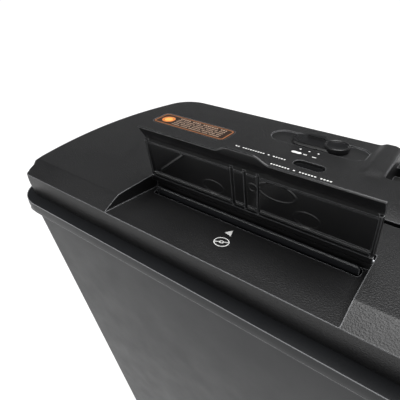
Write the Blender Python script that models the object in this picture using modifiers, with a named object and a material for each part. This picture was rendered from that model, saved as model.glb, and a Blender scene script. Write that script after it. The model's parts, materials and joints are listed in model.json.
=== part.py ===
"""Desk-side paper shredder: tapered waste bin, lift-off shredding head, hinged disc flap.

All driving sizes are in millimetres. The helpers turn them into metres.
Frame: +X along the head, -Y is the front, +Z is up, Z = 0 is the floor.
"""
import math

import bmesh
import bpy
from mathutils import Matrix, Vector

MM = 0.001
GAP = 0.3

# Waste bin
BIN_TOP = 318.0
BIN_WALL = 2.2
BIN_FLOOR = 2.6
BIN_TAPER = 0.125
BIN_HALF_LENGTH = 173.9
BIN_HALF_DEPTH = 88.0
RIM_OUT = 5.5
RIM_SKIRT = 8.5
RIM_LEDGE_IN = 7.7
RIM_CORNER = 20.0
BIN_BOWS = (4.0, 13.0)

# Shredding head
HEAD_TOP = 340.0
HEAD_BOTTOM = 320.0
HEAD_HALF_LENGTH = 175.4
HEAD_HALF_DEPTH = 86.5
HEAD_BOWS = (10.5, 18.0)
END_APEX = -8.0
FRONT_CORNER = 2.5
BACK_CORNER = 25.0
CHAMFER_DEPTH = 12.2
CHAMFER_DROP = 6.0

# Lower housing that hangs inside the bin
HOUSING_BOTTOM = 246.0
HOUSING_HALF_LENGTH = 158.0
HOUSING_HALF_DEPTH = 74.0
HOUSING_WALL = 2.0
HOUSING_BOWS = (7.0, 7.0)
FLANGE_INSET = 4.2
FLANGE_THICK = 1.4

# Disc tray, its slot and the flap over it
TRAY_X = (-85.0, 55.0)
TRAY_BACK = -40.3
TRAY_FRONT_Z = HEAD_TOP - CHAMFER_DROP
TRAY_SLOPE = 3.6 / 38.0
DISC_SLOT_X = (-78.0, 48.0)
DISC_SLOT_Y = (-51.2, -41.0)
DISC_GUIDE_X = (-77.0, 47.0)
FLAP_HINGE_YZ = (-43.3, 338.2)
FLAP_X = (-84.4, 54.4)
FLAP_PANEL = 31.0
FLAP_LIP = 9.8
FLAP_THICK = 1.6
FLAP_OPEN = math.radians(80.0)
HINGE_BARREL = 1.8
HINGE_PIN = 1.1

# Paper throat
THROAT_X = (-77.0, 143.0)
THROAT_Y = (-11.4, -3.5)
THROAT_LEAD_IN = 14.5
THROAT_LEAD_DROP = 3.0

# Controls on the head
TRACK_CENTRE = (-16.5, 61.5)
TRACK_SIZE = (75.0, 22.0)
TRACK_DEPTH = 1.0
KNOB_X = (-36.5, 6.5)
KNOB_Y = 61.0
KNOB_WIDTH = 18.0
KNOB_DIAL_X = -2.5
BUTTON_CENTRE = (-8.0, 25.5)
BUTTON_SIZE = (22.0, 9.5)
LABEL_X = (-150.0, -78.0)
LABEL_Y = (25.5, 46.5)
LABEL_POCKET = 0.65
HAND_X = (37.0, 129.0)
HAND_Y = (38.0, 68.0)
HAND_FLOOR = 311.5
HAND_SHELF = 322.8
HAND_EDGE_Y = 77.5
HAND_EDGE_Z = 330.0
HUMP_WIDTH = 13.0

# Cutter block: axes are (Y, Z) pairs, all parallel to X
CUTTER_FRONT = (-25.6, 278.0)
CUTTER_REAR = (9.4, 278.0)
CUTTER_X = (-80.5, 145.0)
DISC_RADIUS = 19.0
HUB_RADIUS = 8.0
SHAFT_RADIUS = 5.0
DISC_WIDTH = 5.8
DISC_PITCH = 12.4
DISC_COUNT = 18
PLATE_LEFT = (-83.0, -80.5)
PLATE_RIGHT = (145.0, 147.5)
MOTOR_PLATE = (-105.0, -103.0)
PLATE_Y = (-58.5, 43.5)
PLATE_Z = (252.0, 326.4)
TIE_RODS = ((-53.5, 260.0), (37.0, 260.0), (36.5, 300.0), (-53.5, 294.0))
TIE_ROD_RADIUS = 3.0

# Gear train: teeth and module of each mesh
PRESSURE_SLOPE = math.tan(math.radians(20.0))
MOTOR_TEETH = 10
WHEEL_A_TEETH = 48
PINION_A_TEETH = 10
WHEEL_B_TEETH = 36
PINION_B_TEETH = 10
DRIVE_TEETH = 32
SYNC_TEETH = 20
MODULE_1 = 1.0
MODULE_2 = 1.25
MODULE_3 = 1.5
SYNC_MODULE = 1.75
AXLE_RADIUS = 3.0
MOTOR_SHAFT_RADIUS = 2.5
MESH_B_ANGLE = math.radians(60.0)
MESH_A_ANGLE = math.radians(180.0)
MESH_MOTOR_ANGLE = math.radians(200.0)

# Motor
MOTOR_RADIUS = 28.0
MOTOR_X = (-150.0, -105.3)

# Interlock at the right end, pressed by a post in the bin
INTERLOCK_X = 162.0
INTERLOCK_POST_TOP = 312.0

COLLECTION = "paper_shredder"
CUTTERS = "cutters"

FINISHES = {
    "black_abs": ((0.028, 0.028, 0.030), 0.42, 0.0),
    "bin_plastic": ((0.040, 0.041, 0.043), 0.48, 0.0),
    "inner_plastic": ((0.012, 0.012, 0.013), 0.50, 0.0),
    "gloss_black": ((0.006, 0.006, 0.007), 0.12, 0.0),
    "steel": ((0.52, 0.53, 0.55), 0.28, 1.0),
    "zinc_plate": ((0.60, 0.61, 0.62), 0.38, 1.0),
    "nylon": ((0.74, 0.72, 0.64), 0.45, 0.0),
    "sintered_bronze": ((0.45, 0.30, 0.15), 0.42, 1.0),
    "circuit_board": ((0.02, 0.16, 0.07), 0.45, 0.0),
    "component_black": ((0.02, 0.02, 0.02), 0.35, 0.0),
    "label_film": ((0.03, 0.027, 0.025), 0.40, 0.0),
    "rubber": ((0.02, 0.02, 0.02), 0.75, 0.0),
}


# ---------------------------------------------------------------- scene and materials

def clear_scene():
    """Remove every object and leftover collection, so the script can be run again."""
    for obj in list(bpy.data.objects):
        bpy.data.objects.remove(obj, do_unlink=True)
    for collection in list(bpy.data.collections):
        bpy.data.collections.remove(collection)


def make_collection(name):
    collection = bpy.data.collections.new(name)
    bpy.context.scene.collection.children.link(collection)
    return collection


def material_for(node, finish):
    """A material of the node's own, from the shared list of finishes."""
    colour, roughness, metallic = FINISHES[finish]
    material = bpy.data.materials.new(node + "_" + finish)
    material.use_nodes = True
    shader = material.node_tree.nodes["Principled BSDF"]
    shader.inputs["Base Color"].default_value = (*colour, 1.0)
    shader.inputs["Roughness"].default_value = roughness
    shader.inputs["Metallic"].default_value = metallic
    material.diffuse_color = (*colour, 1.0)
    return material


def add_object(name, bm, finish=None, smooth=False):
    """Turn a bmesh in millimetres into an object in metres."""
    bmesh.ops.scale(bm, vec=(MM, MM, MM), verts=bm.verts)
    bmesh.ops.recalc_face_normals(bm, faces=bm.faces)
    mesh = bpy.data.meshes.new(name)
    bm.to_mesh(mesh)
    bm.free()
    obj = bpy.data.objects.new(name, mesh)
    if finish is None:
        bpy.data.collections[CUTTERS].objects.link(obj)
        obj.hide_render = True
        obj.display_type = "WIRE"
    else:
        bpy.data.collections[COLLECTION].objects.link(obj)
        mesh.materials.append(material_for(name, finish))
    if smooth:
        mesh.shade_smooth()
        mesh.set_sharp_from_angle(angle=math.radians(35.0))
    return obj


def combine(obj, other, operation):
    """Add a live Boolean of another object to this one."""
    modifier = obj.modifiers.new(other.name, "BOOLEAN")
    modifier.operation = operation
    modifier.solver = "EXACT"
    modifier.object = other


def cut(obj, *cutters):
    for cutter in cutters:
        combine(obj, cutter, "DIFFERENCE")


def join(obj, *pieces):
    for piece in pieces:
        combine(obj, piece, "UNION")


# ---------------------------------------------------------------- shapes

def box(name, x, y, z, finish=None, bevel=0.0):
    """A block between two corners, each axis given as a (low, high) pair."""
    bm = bmesh.new()
    bmesh.ops.create_cube(bm, size=1.0)
    centre = Vector((sum(x), sum(y), sum(z))) / 2.0
    bmesh.ops.scale(bm, vec=(x[1] - x[0], y[1] - y[0], z[1] - z[0]), verts=bm.verts)
    bmesh.ops.translate(bm, vec=centre, verts=bm.verts)
    if bevel:
        bmesh.ops.bevel(bm, geom=bm.edges, offset=bevel, segments=2, profile=0.5, affect="EDGES")
    return add_object(name, bm, finish)


def extrude_outline(bm, points, travel):
    """Fill a closed outline with one face and extrude it by a vector."""
    face = bm.faces.new([bm.verts.new(p) for p in points])
    grown = bmesh.ops.extrude_face_region(bm, geom=[face])
    moved = [v for v in grown["geom"] if isinstance(v, bmesh.types.BMVert)]
    bmesh.ops.translate(bm, vec=travel, verts=moved)


def prism_x(name, outline, x, finish=None):
    """An outline in (Y, Z) carried along X."""
    bm = bmesh.new()
    extrude_outline(bm, [(x[0], y, z) for y, z in outline], (x[1] - x[0], 0.0, 0.0))
    return add_object(name, bm, finish)


def prism_z(name, outline, z, finish=None):
    """An outline in (X, Y) carried along Z."""
    bm = bmesh.new()
    extrude_outline(bm, [(px, py, z[0]) for px, py in outline], (0.0, 0.0, z[1] - z[0]))
    return add_object(name, bm, finish)


def rod(name, start, end, radius, finish=None, sides=20):
    """A round bar between two points."""
    axis = Vector(end) - Vector(start)
    bm = bmesh.new()
    bmesh.ops.create_cone(bm, cap_ends=True, segments=sides, radius1=radius, radius2=radius,
                          depth=axis.length)
    turn = Vector((0.0, 0.0, 1.0)).rotation_difference(axis).to_matrix().to_4x4()
    place = Matrix.Translation((Vector(start) + Vector(end)) / 2.0) @ turn
    bmesh.ops.transform(bm, matrix=place, verts=bm.verts)
    return add_object(name, bm, finish, smooth=True)


def rod_x(name, centre, x, radius, finish=None, sides=20):
    return rod(name, (x[0], *centre), (x[1], *centre), radius, finish, sides)


def turned_x(name, profile, centre, finish, sides=16):
    """A profile of (x, radius) pairs from axis to axis, turned about a line parallel to X.

    The profile is drawn on the object's own Z axis and the object is laid over onto X.
    """
    bm = bmesh.new()
    verts = [bm.verts.new((radius * MM, 0.0, -x * MM)) for x, radius in profile]
    for a, b in zip(verts, verts[1:]):
        bm.edges.new((a, b))
    mesh = bpy.data.meshes.new(name)
    bm.to_mesh(mesh)
    bm.free()
    obj = bpy.data.objects.new(name, mesh)
    bpy.data.collections[COLLECTION].objects.link(obj)
    mesh.materials.append(material_for(name, finish))
    screw = obj.modifiers.new("turn", "SCREW")
    screw.steps = sides
    screw.render_steps = sides
    screw.use_merge_vertices = True
    screw.merge_threshold = 0.00005
    screw.use_smooth_shade = False
    obj.rotation_euler = (0.0, -math.pi / 2.0, 0.0)
    obj.location = (0.0, centre[0] * MM, centre[1] * MM)
    return obj


def stadium(centre, size, steps=7):
    """A slot outline: two half circles joined by straight sides, long side along X."""
    radius = size[1] / 2.0
    reach = size[0] / 2.0 - radius
    points = []
    for side, start in ((1.0, -math.pi / 2.0), (-1.0, math.pi / 2.0)):
        for k in range(steps + 1):
            angle = start + math.pi * k / steps
            points.append((centre[0] + side * reach + radius * math.cos(angle),
                           centre[1] + radius * math.sin(angle)))
    return points


def body_outline(half_length, half_depth, front_radius, back_radius, bows):
    """Plan outline: straight front and back, bowed ends, round corners, anticlockwise.

    An end reaches farthest out at y = END_APEX. It steps back with the square of the distance
    from there, by bows[0] at the front side and bows[1] at the back side. Each corner is an arc
    that meets the end's slope and the straight side.
    """
    def end_at(y):
        """How far out the end lies at y, and the angle at which it leans there."""
        side = 0 if y < END_APEX else 1
        reach = half_depth + (END_APEX, -END_APEX)[side]
        share = abs(y - END_APEX) / reach
        return half_length - bows[side] * share ** 2, math.atan(2.0 * bows[side] * share / reach)

    right = []
    for sign, radius in ((-1.0, front_radius), (1.0, back_radius)):
        lean = 0.0
        for _ in range(5):
            touch = sign * (half_depth - radius + radius * math.sin(lean))
            out, lean = end_at(touch)
        centre = (out - radius * math.cos(lean), half_depth - radius)
        corner = []
        for k in range(6):
            angle = math.pi / 2.0 + (lean - math.pi / 2.0) * k / 5
            corner.append((centre[0] + radius * math.cos(angle),
                           sign * (centre[1] + radius * math.sin(angle))))
        right.append(corner)
    front, back = right
    low_y, high_y = front[-1][1], back[-1][1]
    middle = [(end_at(y)[0], y) for y in (low_y + (high_y - low_y) * k / 7 for k in range(1, 7))]
    half = front + middle + back[::-1]
    return half + [(-x, y) for x, y in reversed(half)]


def loft(name, rings, finish):
    """A closed skin through rings of equal point counts, each given as (outline, z)."""
    bm = bmesh.new()
    loops = [[bm.verts.new((x, y, z)) for x, y in outline] for outline, z in rings]
    count = len(loops[0])
    for low, high in zip(loops, loops[1:]):
        for k in range(count):
            bm.faces.new((low[k], low[(k + 1) % count], high[(k + 1) % count], high[k]))
    bm.faces.new(loops[0][::-1])
    bm.faces.new(loops[-1])
    return add_object(name, bm, finish)


# ---------------------------------------------------------------- bin

def bin_outline(z, inset=0.0):
    """The bin's plan outline at a height. The walls lean in towards the floor."""
    shrink = BIN_TAPER * (BIN_TOP - z) + inset
    return body_outline(BIN_HALF_LENGTH - shrink, BIN_HALF_DEPTH - shrink,
                        10.0 - 0.1 * shrink, 28.0 - 0.4 * shrink,
                        (BIN_BOWS[0], BIN_BOWS[1] - 0.15 * shrink))


def rim_outline(outwards):
    return body_outline(BIN_HALF_LENGTH + outwards, BIN_HALF_DEPTH + outwards,
                        RIM_CORNER + outwards, 28.0 + outwards, BIN_BOWS)


def make_bin():
    skirt_bottom = BIN_TOP - RIM_SKIRT
    rings = [
        (bin_outline(BIN_FLOOR, BIN_WALL), BIN_FLOOR),
        (bin_outline(BIN_TOP - 8.0, BIN_WALL), BIN_TOP - 8.0),
        (rim_outline(-RIM_LEDGE_IN), BIN_TOP - 3.4),
        (rim_outline(-RIM_LEDGE_IN), BIN_TOP - 0.4),
        (rim_outline(-RIM_LEDGE_IN + 0.4), BIN_TOP),
        (rim_outline(RIM_OUT - 0.8), BIN_TOP),
        (rim_outline(RIM_OUT - 0.2), BIN_TOP - 0.3),
        (rim_outline(RIM_OUT), BIN_TOP - 1.0),
        (rim_outline(RIM_OUT - 0.4), skirt_bottom + 1.5),
        (rim_outline(RIM_OUT - 1.6), skirt_bottom - 0.6),
        (rim_outline(RIM_OUT - 3.6), skirt_bottom - 2.2),
        (bin_outline(skirt_bottom - 4.0), skirt_bottom - 4.0),
        (bin_outline(3.0), 3.0),
        (bin_outline(0.8, 0.6), 0.8),
        (bin_outline(0.0, 2.4), 0.0),
    ]
    waste_bin = loft("waste_bin", rings, "bin_plastic")
    post = box("interlock_post", (INTERLOCK_X - 3.2, INTERLOCK_X + 8.4), (-5.0, 5.0),
               (292.0, INTERLOCK_POST_TOP))
    join(waste_bin, post)


# ---------------------------------------------------------------- head shell

def head_outline(inset):
    return body_outline(HEAD_HALF_LENGTH - inset, HEAD_HALF_DEPTH - inset,
                        FRONT_CORNER, max(BACK_CORNER - inset, 6.0), HEAD_BOWS)


def screw_places():
    """Plan positions of the screws through the housing flange into the cover."""
    front = [(x, -77.7) for x in (-125.0, 15.0, 125.0)]
    back = [(x, 77.7) for x in (-125.0, 15.0, 139.0)]
    return front + back


def make_head_cover():
    rings = [
        (head_outline(12.0), HEAD_TOP - 2.5),
        (head_outline(3.6), HEAD_TOP - 9.0),
        (head_outline(4.0), HEAD_BOTTOM),
        (head_outline(1.5), HEAD_BOTTOM),
        (head_outline(0.3), HEAD_BOTTOM + 8.0),
        (head_outline(0.0), HEAD_TOP - 5.0),
        (head_outline(0.0), HEAD_TOP - 0.9),
        (head_outline(0.25), HEAD_TOP - 0.25),
        (head_outline(0.9), HEAD_TOP),
    ]
    cover = loft("head_cover", rings, "black_abs")
    add_cover_blocks(cover)
    cut_front_chamfer(cover)
    cut_disc_tray(cover)
    cut_throat(cover)
    cut_controls(cover)
    cut_hand_hold(cover)
    return cover


def add_cover_blocks(cover):
    """Thickenings under the skin and the two raised ribs beside the hand-hold."""
    tray = prism_x("tray_block", [(-83.2, 326.9), (TRAY_BACK + 1.8, 326.9), (TRAY_BACK + 1.8, 338.2),
                                  (-77.0, 338.2), (-83.2, 334.9)], (TRAY_X[0] - 4.0, TRAY_X[1] + 4.0))
    throat = box("throat_block", (THROAT_X[0] - 6.0, THROAT_X[1] + 6.0), (-15.0, 14.0),
                 (333.6, 338.3))
    pocket = box("hand_block", (HAND_X[0] - 2.5, HAND_X[1] + 2.5), (HAND_Y[0] - 2.5, HAND_Y[1] + 2.5),
                 (HAND_FLOOR - 2.5, 338.4))
    shelf = box("shelf_block", (HAND_X[0] - 2.5, HAND_X[1] + 2.5), (HAND_Y[1] - 1.0, 83.0),
                (HAND_SHELF - 2.5, 338.5))
    join(cover, tray, throat, pocket, shelf)
    for side, x in (("left", HAND_X[0] - 4.0 - HUMP_WIDTH), ("right", HAND_X[1] + 4.0)):
        hump = box("hump_" + side, (x, x + HUMP_WIDTH), (33.0, 85.6), (337.9, 343.0), bevel=2.4)
        join(cover, hump)
    for number, (x, y) in enumerate(screw_places()):
        boss = rod(f"boss_{number}", (x, y, HEAD_BOTTOM), (x, y, 337.0), 3.2, sides=16)
        hole = rod(f"boss_hole_{number}", (x, y, HEAD_BOTTOM - 1.0), (x, y, 329.0), 1.5, sides=12)
        join(cover, boss)
        cut(cover, hole)


def cut_front_chamfer(cover):
    """The sloping front edge of the head, along its whole length."""
    slope = CHAMFER_DROP / CHAMFER_DEPTH
    front = -HEAD_HALF_DEPTH
    outline = [(front - 5.0, TRAY_FRONT_Z - 5.0 * slope),
               (front + 25.0, TRAY_FRONT_Z + 25.0 * slope),
               (front - 5.0, TRAY_FRONT_Z + 25.0 * slope)]
    cut(cover, prism_x("chamfer_cut", outline, (-190.0, 190.0)))


def tray_floor(y):
    return TRAY_FRONT_Z - TRAY_SLOPE * (y + HEAD_HALF_DEPTH)


def cut_disc_tray(cover):
    front = -HEAD_HALF_DEPTH - 5.0
    outline = [(front, tray_floor(front)), (TRAY_BACK, tray_floor(TRAY_BACK)),
               (TRAY_BACK, 350.0), (front, 350.0)]
    cut(cover, prism_x("tray_cut", outline, TRAY_X))
    cut(cover, box("disc_slot_cut", DISC_SLOT_X, DISC_SLOT_Y, (320.0, 334.0)))
    for side, x in (("left", TRAY_X[0]), ("right", TRAY_X[1])):
        socket = rod_x("pin_socket_" + side, FLAP_HINGE_YZ, (x - 3.0, x + 3.0), HINGE_PIN + GAP, sides=16)
        cut(cover, socket)


def cut_throat(cover):
    """The paper slot and the sloping facet that leads paper into it."""
    cut(cover, box("throat_cut", THROAT_X, THROAT_Y, (325.0, 350.0)))
    slope = THROAT_LEAD_DROP / THROAT_LEAD_IN
    low = HEAD_TOP - THROAT_LEAD_DROP
    back = THROAT_Y[1]
    outline = [(back - 1.0, low - slope), (back + 40.0, low + 40.0 * slope), (back - 1.0, 350.0)]
    cut(cover, prism_x("lead_in_cut", outline, (THROAT_X[0] - 4.0, THROAT_X[1] + 4.0)))


def cut_controls(cover):
    track = stadium(TRACK_CENTRE, TRACK_SIZE)
    cut(cover, prism_z("track_cut", track, (HEAD_TOP - TRACK_DEPTH, 350.0)))
    cut(cover, box("stem_slot_cut", (-30.0, -4.0), (59.0, 63.0), (330.0, 345.0)))
    button = stadium(BUTTON_CENTRE, BUTTON_SIZE)
    cut(cover, prism_z("button_cut", button, (330.0, 350.0)))
    cut(cover, box("label_cut", (LABEL_X[0] - GAP, LABEL_X[1] + GAP),
                   (LABEL_Y[0] - GAP, LABEL_Y[1] + GAP), (HEAD_TOP - LABEL_POCKET, 345.0)))
    cut(cover, rod("gland_hole", (-120.0, 78.0, 327.0), (-120.0, 92.0, 327.0), 5.3, sides=20))


def cut_hand_hold(cover):
    """A pocket for the fingers in two depths, open over a lowered back edge."""
    cut(cover, box("hand_cut", HAND_X, HAND_Y, (HAND_FLOOR, 350.0)))
    cut(cover, box("shelf_cut", HAND_X, (HAND_Y[1] - 1.5, HAND_EDGE_Y), (HAND_SHELF, 350.0)))
    cut(cover, box("edge_cut", HAND_X, (HAND_EDGE_Y - 1.0, 95.0), (HAND_EDGE_Z, 350.0)))


def make_lower_housing():
    inner = (HOUSING_HALF_LENGTH - HOUSING_WALL, HOUSING_HALF_DEPTH - HOUSING_WALL)
    inner_outline = body_outline(*inner, 8.0, 20.0, HOUSING_BOWS)
    outer_outline = body_outline(HOUSING_HALF_LENGTH, HOUSING_HALF_DEPTH, 10.0, 22.0, HOUSING_BOWS)
    low_outline = body_outline(HOUSING_HALF_LENGTH - 2.0, HOUSING_HALF_DEPTH - 2.0, 9.0, 20.0, HOUSING_BOWS)
    flange = head_outline(FLANGE_INSET)
    flange_top = HEAD_BOTTOM - GAP
    flange_bottom = flange_top - FLANGE_THICK
    rings = [
        (inner_outline, HOUSING_BOTTOM + 2.2),
        (inner_outline, flange_top),
        (flange, flange_top),
        (flange, flange_bottom),
        (outer_outline, flange_bottom),
        (outer_outline, HOUSING_BOTTOM + 2.0),
        (low_outline, HOUSING_BOTTOM),
    ]
    housing = loft("lower_housing", rings, "inner_plastic")
    cut(housing, box("discharge_cut", (-76.0, 142.0), (-46.0, 30.0), (240.0, 255.0)))
    for number, (x, y) in enumerate(screw_places()):
        cut(housing, rod(f"flange_hole_{number}", (x, y, 310.0), (x, y, 325.0), 1.5, sides=12))
    cut(housing, rod("plunger_hole", (INTERLOCK_X, 0.0, 310.0), (INTERLOCK_X, 0.0, 325.0), 2.6, sides=16))


def make_screws():
    for number, (x, y) in enumerate(screw_places(), start=1):
        head_z = HEAD_BOTTOM - FLANGE_THICK - 2.0 * GAP
        shank = rod(f"screw_shank_{number}", (x, y, head_z - 1.0), (x, y, 328.5), 1.2, sides=12)
        screw = rod(f"cover_screw_{number}", (x, y, head_z - 1.8), (x, y, head_z), 2.2, "zinc_plate", 12)
        join(screw, shank)


# ---------------------------------------------------------------- guides

def make_guides():
    """Plates that lead paper and discs down to the nip between the cutters."""
    front = prism_x("paper_guide_front", [(-13.3, 333.2), (-11.8, 333.2), (-11.0, 314.5), (-12.5, 314.5)],
                    THROAT_X, "inner_plastic")
    rear = prism_x("paper_guide_rear", [(-3.2, 333.2), (-1.6, 333.2), (-5.0, 298.5), (-6.6, 298.5)],
                   THROAT_X, "inner_plastic")
    for guide, window in ((front, "front_window"), (rear, "rear_window")):
        cut(guide, rod(window, (33.0, -20.0, 326.0), (33.0, 6.0, 326.0), 2.0, sides=12))
    upper = [(-45.6, 333.6), (-44.4, 333.6), (-44.4, 326.4), (-15.0, 313.6), (-15.0, 312.0), (-45.6, 325.3)]
    prism_x("disc_guide_upper", upper, DISC_GUIDE_X, "inner_plastic")
    lower = [(-53.0, 326.5), (-51.4, 326.5), (-15.6, 299.5), (-15.6, 297.5)]
    prism_x("disc_guide_lower", lower, DISC_GUIDE_X, "inner_plastic")
    box("paper_sensor_emitter", (29.0, 37.0), (-18.0, -13.7), (322.0, 330.0), "component_black")
    box("paper_sensor_receiver", (29.0, 37.0), (-1.2, 3.2), (322.0, 330.0), "component_black")


# ---------------------------------------------------------------- disc flap

def make_flap():
    """The flap is drawn closed, flush with the head, then stood open about its hinge."""
    slope = Vector((CHAMFER_DEPTH, CHAMFER_DROP)).normalized()
    top = HEAD_TOP - FLAP_HINGE_YZ[1]
    bend = -FLAP_PANEL
    tip = (bend - FLAP_LIP * slope[0], top - FLAP_LIP * slope[1])
    under = top - FLAP_THICK
    outline = [(0.0, top), (bend, top), tip, (tip[0] + 0.5, tip[1] - 1.2),
               (bend + 0.4, under), (0.0, under)]
    flap = prism_x("disc_flap", outline, FLAP_X, "black_abs")
    barrel = rod_x("flap_barrel", (0.0, 0.0), FLAP_X, HINGE_BARREL, sides=20)
    join(flap, barrel)
    parts = [barrel, *flap_stiffeners(bend, under), flap_finger_tab(tip)]
    join(flap, *parts[1:])
    for side, x in (("left", FLAP_X[0]), ("right", FLAP_X[1])):
        bore = rod_x("flap_bore_" + side, (0.0, 0.0), (x - 5.0, x + 5.0), HINGE_PIN + GAP, sides=16)
        cut(flap, bore)
        parts.append(bore)
    hinge = bpy.data.objects.new("flap_hinge", None)
    bpy.data.collections[COLLECTION].objects.link(hinge)
    hinge.location = (0.0, FLAP_HINGE_YZ[0] * MM, FLAP_HINGE_YZ[1] * MM)
    hinge.rotation_euler = (-FLAP_OPEN, 0.0, 0.0)
    for piece in [flap, *parts]:
        piece.parent = hinge
    for side, x in (("left", TRAY_X[0]), ("right", TRAY_X[1])):
        inwards = 4.5 if side == "left" else -4.5
        rod_x("flap_pin_" + side, FLAP_HINGE_YZ, sorted((x - 0.6 * inwards, x + inwards)),
              HINGE_PIN, "steel", 16)


def flap_stiffeners(bend, under):
    """Edge walls, two bars along the hinge and three ribs under the flap."""
    middle = sum(FLAP_X) / 2.0
    reach = (bend + 1.0, -2.0)
    pieces = []
    for number, x in enumerate((FLAP_X[0] + 0.1, FLAP_X[1] - 1.7)):
        pieces.append(box(f"flap_side_{number}", (x, x + 1.6), reach, (under - 1.6, under + 0.5)))
    for number, x in enumerate((middle - 8.0, middle, middle + 8.0)):
        pieces.append(box(f"flap_rib_{number}", (x - 0.6, x + 0.6), reach, (under - 1.4, under + 0.6)))
    for number, y in enumerate((-4.6, -7.2)):
        bar = box(f"flap_bar_{number}", (FLAP_X[0] + 0.8, FLAP_X[1] - 0.8), (y - 0.5, y + 0.5),
                  (under - 0.9, under + 0.7))
        pieces.append(bar)
    return pieces


def flap_finger_tab(tip):
    """A shallow tab that a fingertip lifts, in the middle of the lip."""
    middle = sum(FLAP_X) / 2.0
    outline = [(middle - 16.0, tip[0] + 0.8), (middle - 7.0, tip[0] - 3.8),
               (middle + 7.0, tip[0] - 3.8), (middle + 16.0, tip[0] + 0.8)]
    return prism_z("flap_tab", outline, (tip[1] - 1.0, tip[1] + 0.1))


# ---------------------------------------------------------------- controls

def make_mode_switch():
    length = KNOB_X[1] - KNOB_X[0]
    centre = (sum(KNOB_X) / 2.0, KNOB_Y)
    base = HEAD_TOP - TRACK_DEPTH + GAP
    knob = prism_z("mode_knob", stadium(centre, (length, KNOB_WIDTH - 2.0)), (base, base + 2.6), "black_abs")
    dial = rod("knob_dial", (KNOB_DIAL_X, KNOB_Y, base + 1.0), (KNOB_DIAL_X, KNOB_Y, base + 4.0), 9.0, sides=32)
    dish = rod("knob_dish", (KNOB_DIAL_X, KNOB_Y, base + 3.0), (KNOB_DIAL_X, KNOB_Y, base + 6.0), 7.4, sides=32)
    stem = box("knob_stem", (-21.0, -13.0), (59.6, 62.4), (332.0, base + 0.5))
    join(knob, dial, stem)
    cut(knob, dish)
    body = box("mode_switch", (-34.0, 0.0), (55.0, 67.0), (322.0, 332.5), "component_black")
    cut(body, box("switch_slot", (-29.0, -5.0), (59.2, 62.8), (329.0, 335.0)))


def make_button():
    width = (BUTTON_SIZE[0] - 2.0 * GAP, BUTTON_SIZE[1] - 2.0 * GAP)
    top = HEAD_TOP - 0.6
    button = prism_z("reset_button", stadium(BUTTON_CENTRE, width), (top - 4.6, top), "gloss_black")
    x, y = BUTTON_CENTRE
    join(button, rod("button_pin", (x, y, 328.6), (x, y, top - 4.0), 1.6, sides=16))
    make_spring("button_spring", (x, y), (327.4, 334.2), 2.9, 0.35, 4.5)
    seat = box("button_switch", (x - 7.0, x + 7.0), (y - 4.5, y + 4.5), (319.0, 326.7), "component_black")
    cut(seat, rod("button_switch_bore", (x, y, 322.0), (x, y, 330.0), 2.0, sides=16))


def make_spring(name, centre, z, radius, wire, turns):
    """A round-wire compression spring standing on Z, between two heights."""
    steps = 10
    count = int(turns * steps) + 1
    curve = bpy.data.curves.new(name, "CURVE")
    curve.dimensions = "3D"
    curve.bevel_depth = wire * MM
    curve.bevel_resolution = 1
    curve.use_fill_caps = True
    spline = curve.splines.new("POLY")
    spline.points.add(count - 1)
    low, high = z[0] + wire, z[1] - wire
    for k, point in enumerate(spline.points):
        angle = 2.0 * math.pi * k / steps
        height = low + (high - low) * k / (count - 1)
        point.co = ((centre[0] + radius * math.cos(angle)) * MM,
                    (centre[1] + radius * math.sin(angle)) * MM, height * MM, 1.0)
    obj = bpy.data.objects.new(name, curve)
    curve.materials.append(material_for(name, "steel"))
    bpy.data.collections[COLLECTION].objects.link(obj)


def make_label():
    """The thin film set in its pocket on top of the head."""
    box("info_label", LABEL_X, LABEL_Y, (HEAD_TOP - LABEL_POCKET + GAP, HEAD_TOP), "label_film")


def make_interlock():
    """A plunger through the flange that the bin's post presses, its spring and its switch."""
    x = INTERLOCK_X
    plunger = rod("interlock_plunger", (x, 0.0, INTERLOCK_POST_TOP + GAP), (x, 0.0, 328.0), 2.2, "nylon", 16)
    join(plunger, rod("plunger_collar", (x, 0.0, 320.4), (x, 0.0, 322.4), 4.0, sides=16))
    make_spring("interlock_spring", (x, 0.0), (322.8, 327.0), 3.1, 0.35, 2.5)
    switch = box("interlock_switch", (x - 7.0, x + 4.5), (-6.0, 6.0), (327.4, 332.0), "component_black")
    cut(switch, rod("interlock_bore", (x, 0.0, 320.0), (x, 0.0, 340.0), 2.6, sides=16))


# ---------------------------------------------------------------- cutter block

def cutter_profile(first_disc, x_low, x_high):
    """Shaft, hub and discs as (x, radius) pairs from one end of the axis to the other."""
    hub = (CUTTER_X[0] + 1.2, CUTTER_X[1] - 1.2)
    profile = [(x_low, 0.0), (x_low, SHAFT_RADIUS), (hub[0], SHAFT_RADIUS), (hub[0], HUB_RADIUS)]
    for k in range(DISC_COUNT):
        start = first_disc + k * DISC_PITCH
        end = start + DISC_WIDTH
        profile += [(start, HUB_RADIUS), (start, DISC_RADIUS), (end, DISC_RADIUS), (end, HUB_RADIUS)]
    profile += [(hub[1], HUB_RADIUS), (hub[1], SHAFT_RADIUS), (x_high, SHAFT_RADIUS), (x_high, 0.0)]
    return profile


def make_cutters():
    first = CUTTER_X[0] + 1.7
    front_end = PLATE_LEFT[0] - 1.0
    turned_x("cutter_front", cutter_profile(first, front_end, 152.5), CUTTER_FRONT, "steel")
    turned_x("cutter_rear", cutter_profile(first + DISC_PITCH / 2.0, -92.0, 152.5), CUTTER_REAR, "steel")


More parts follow.
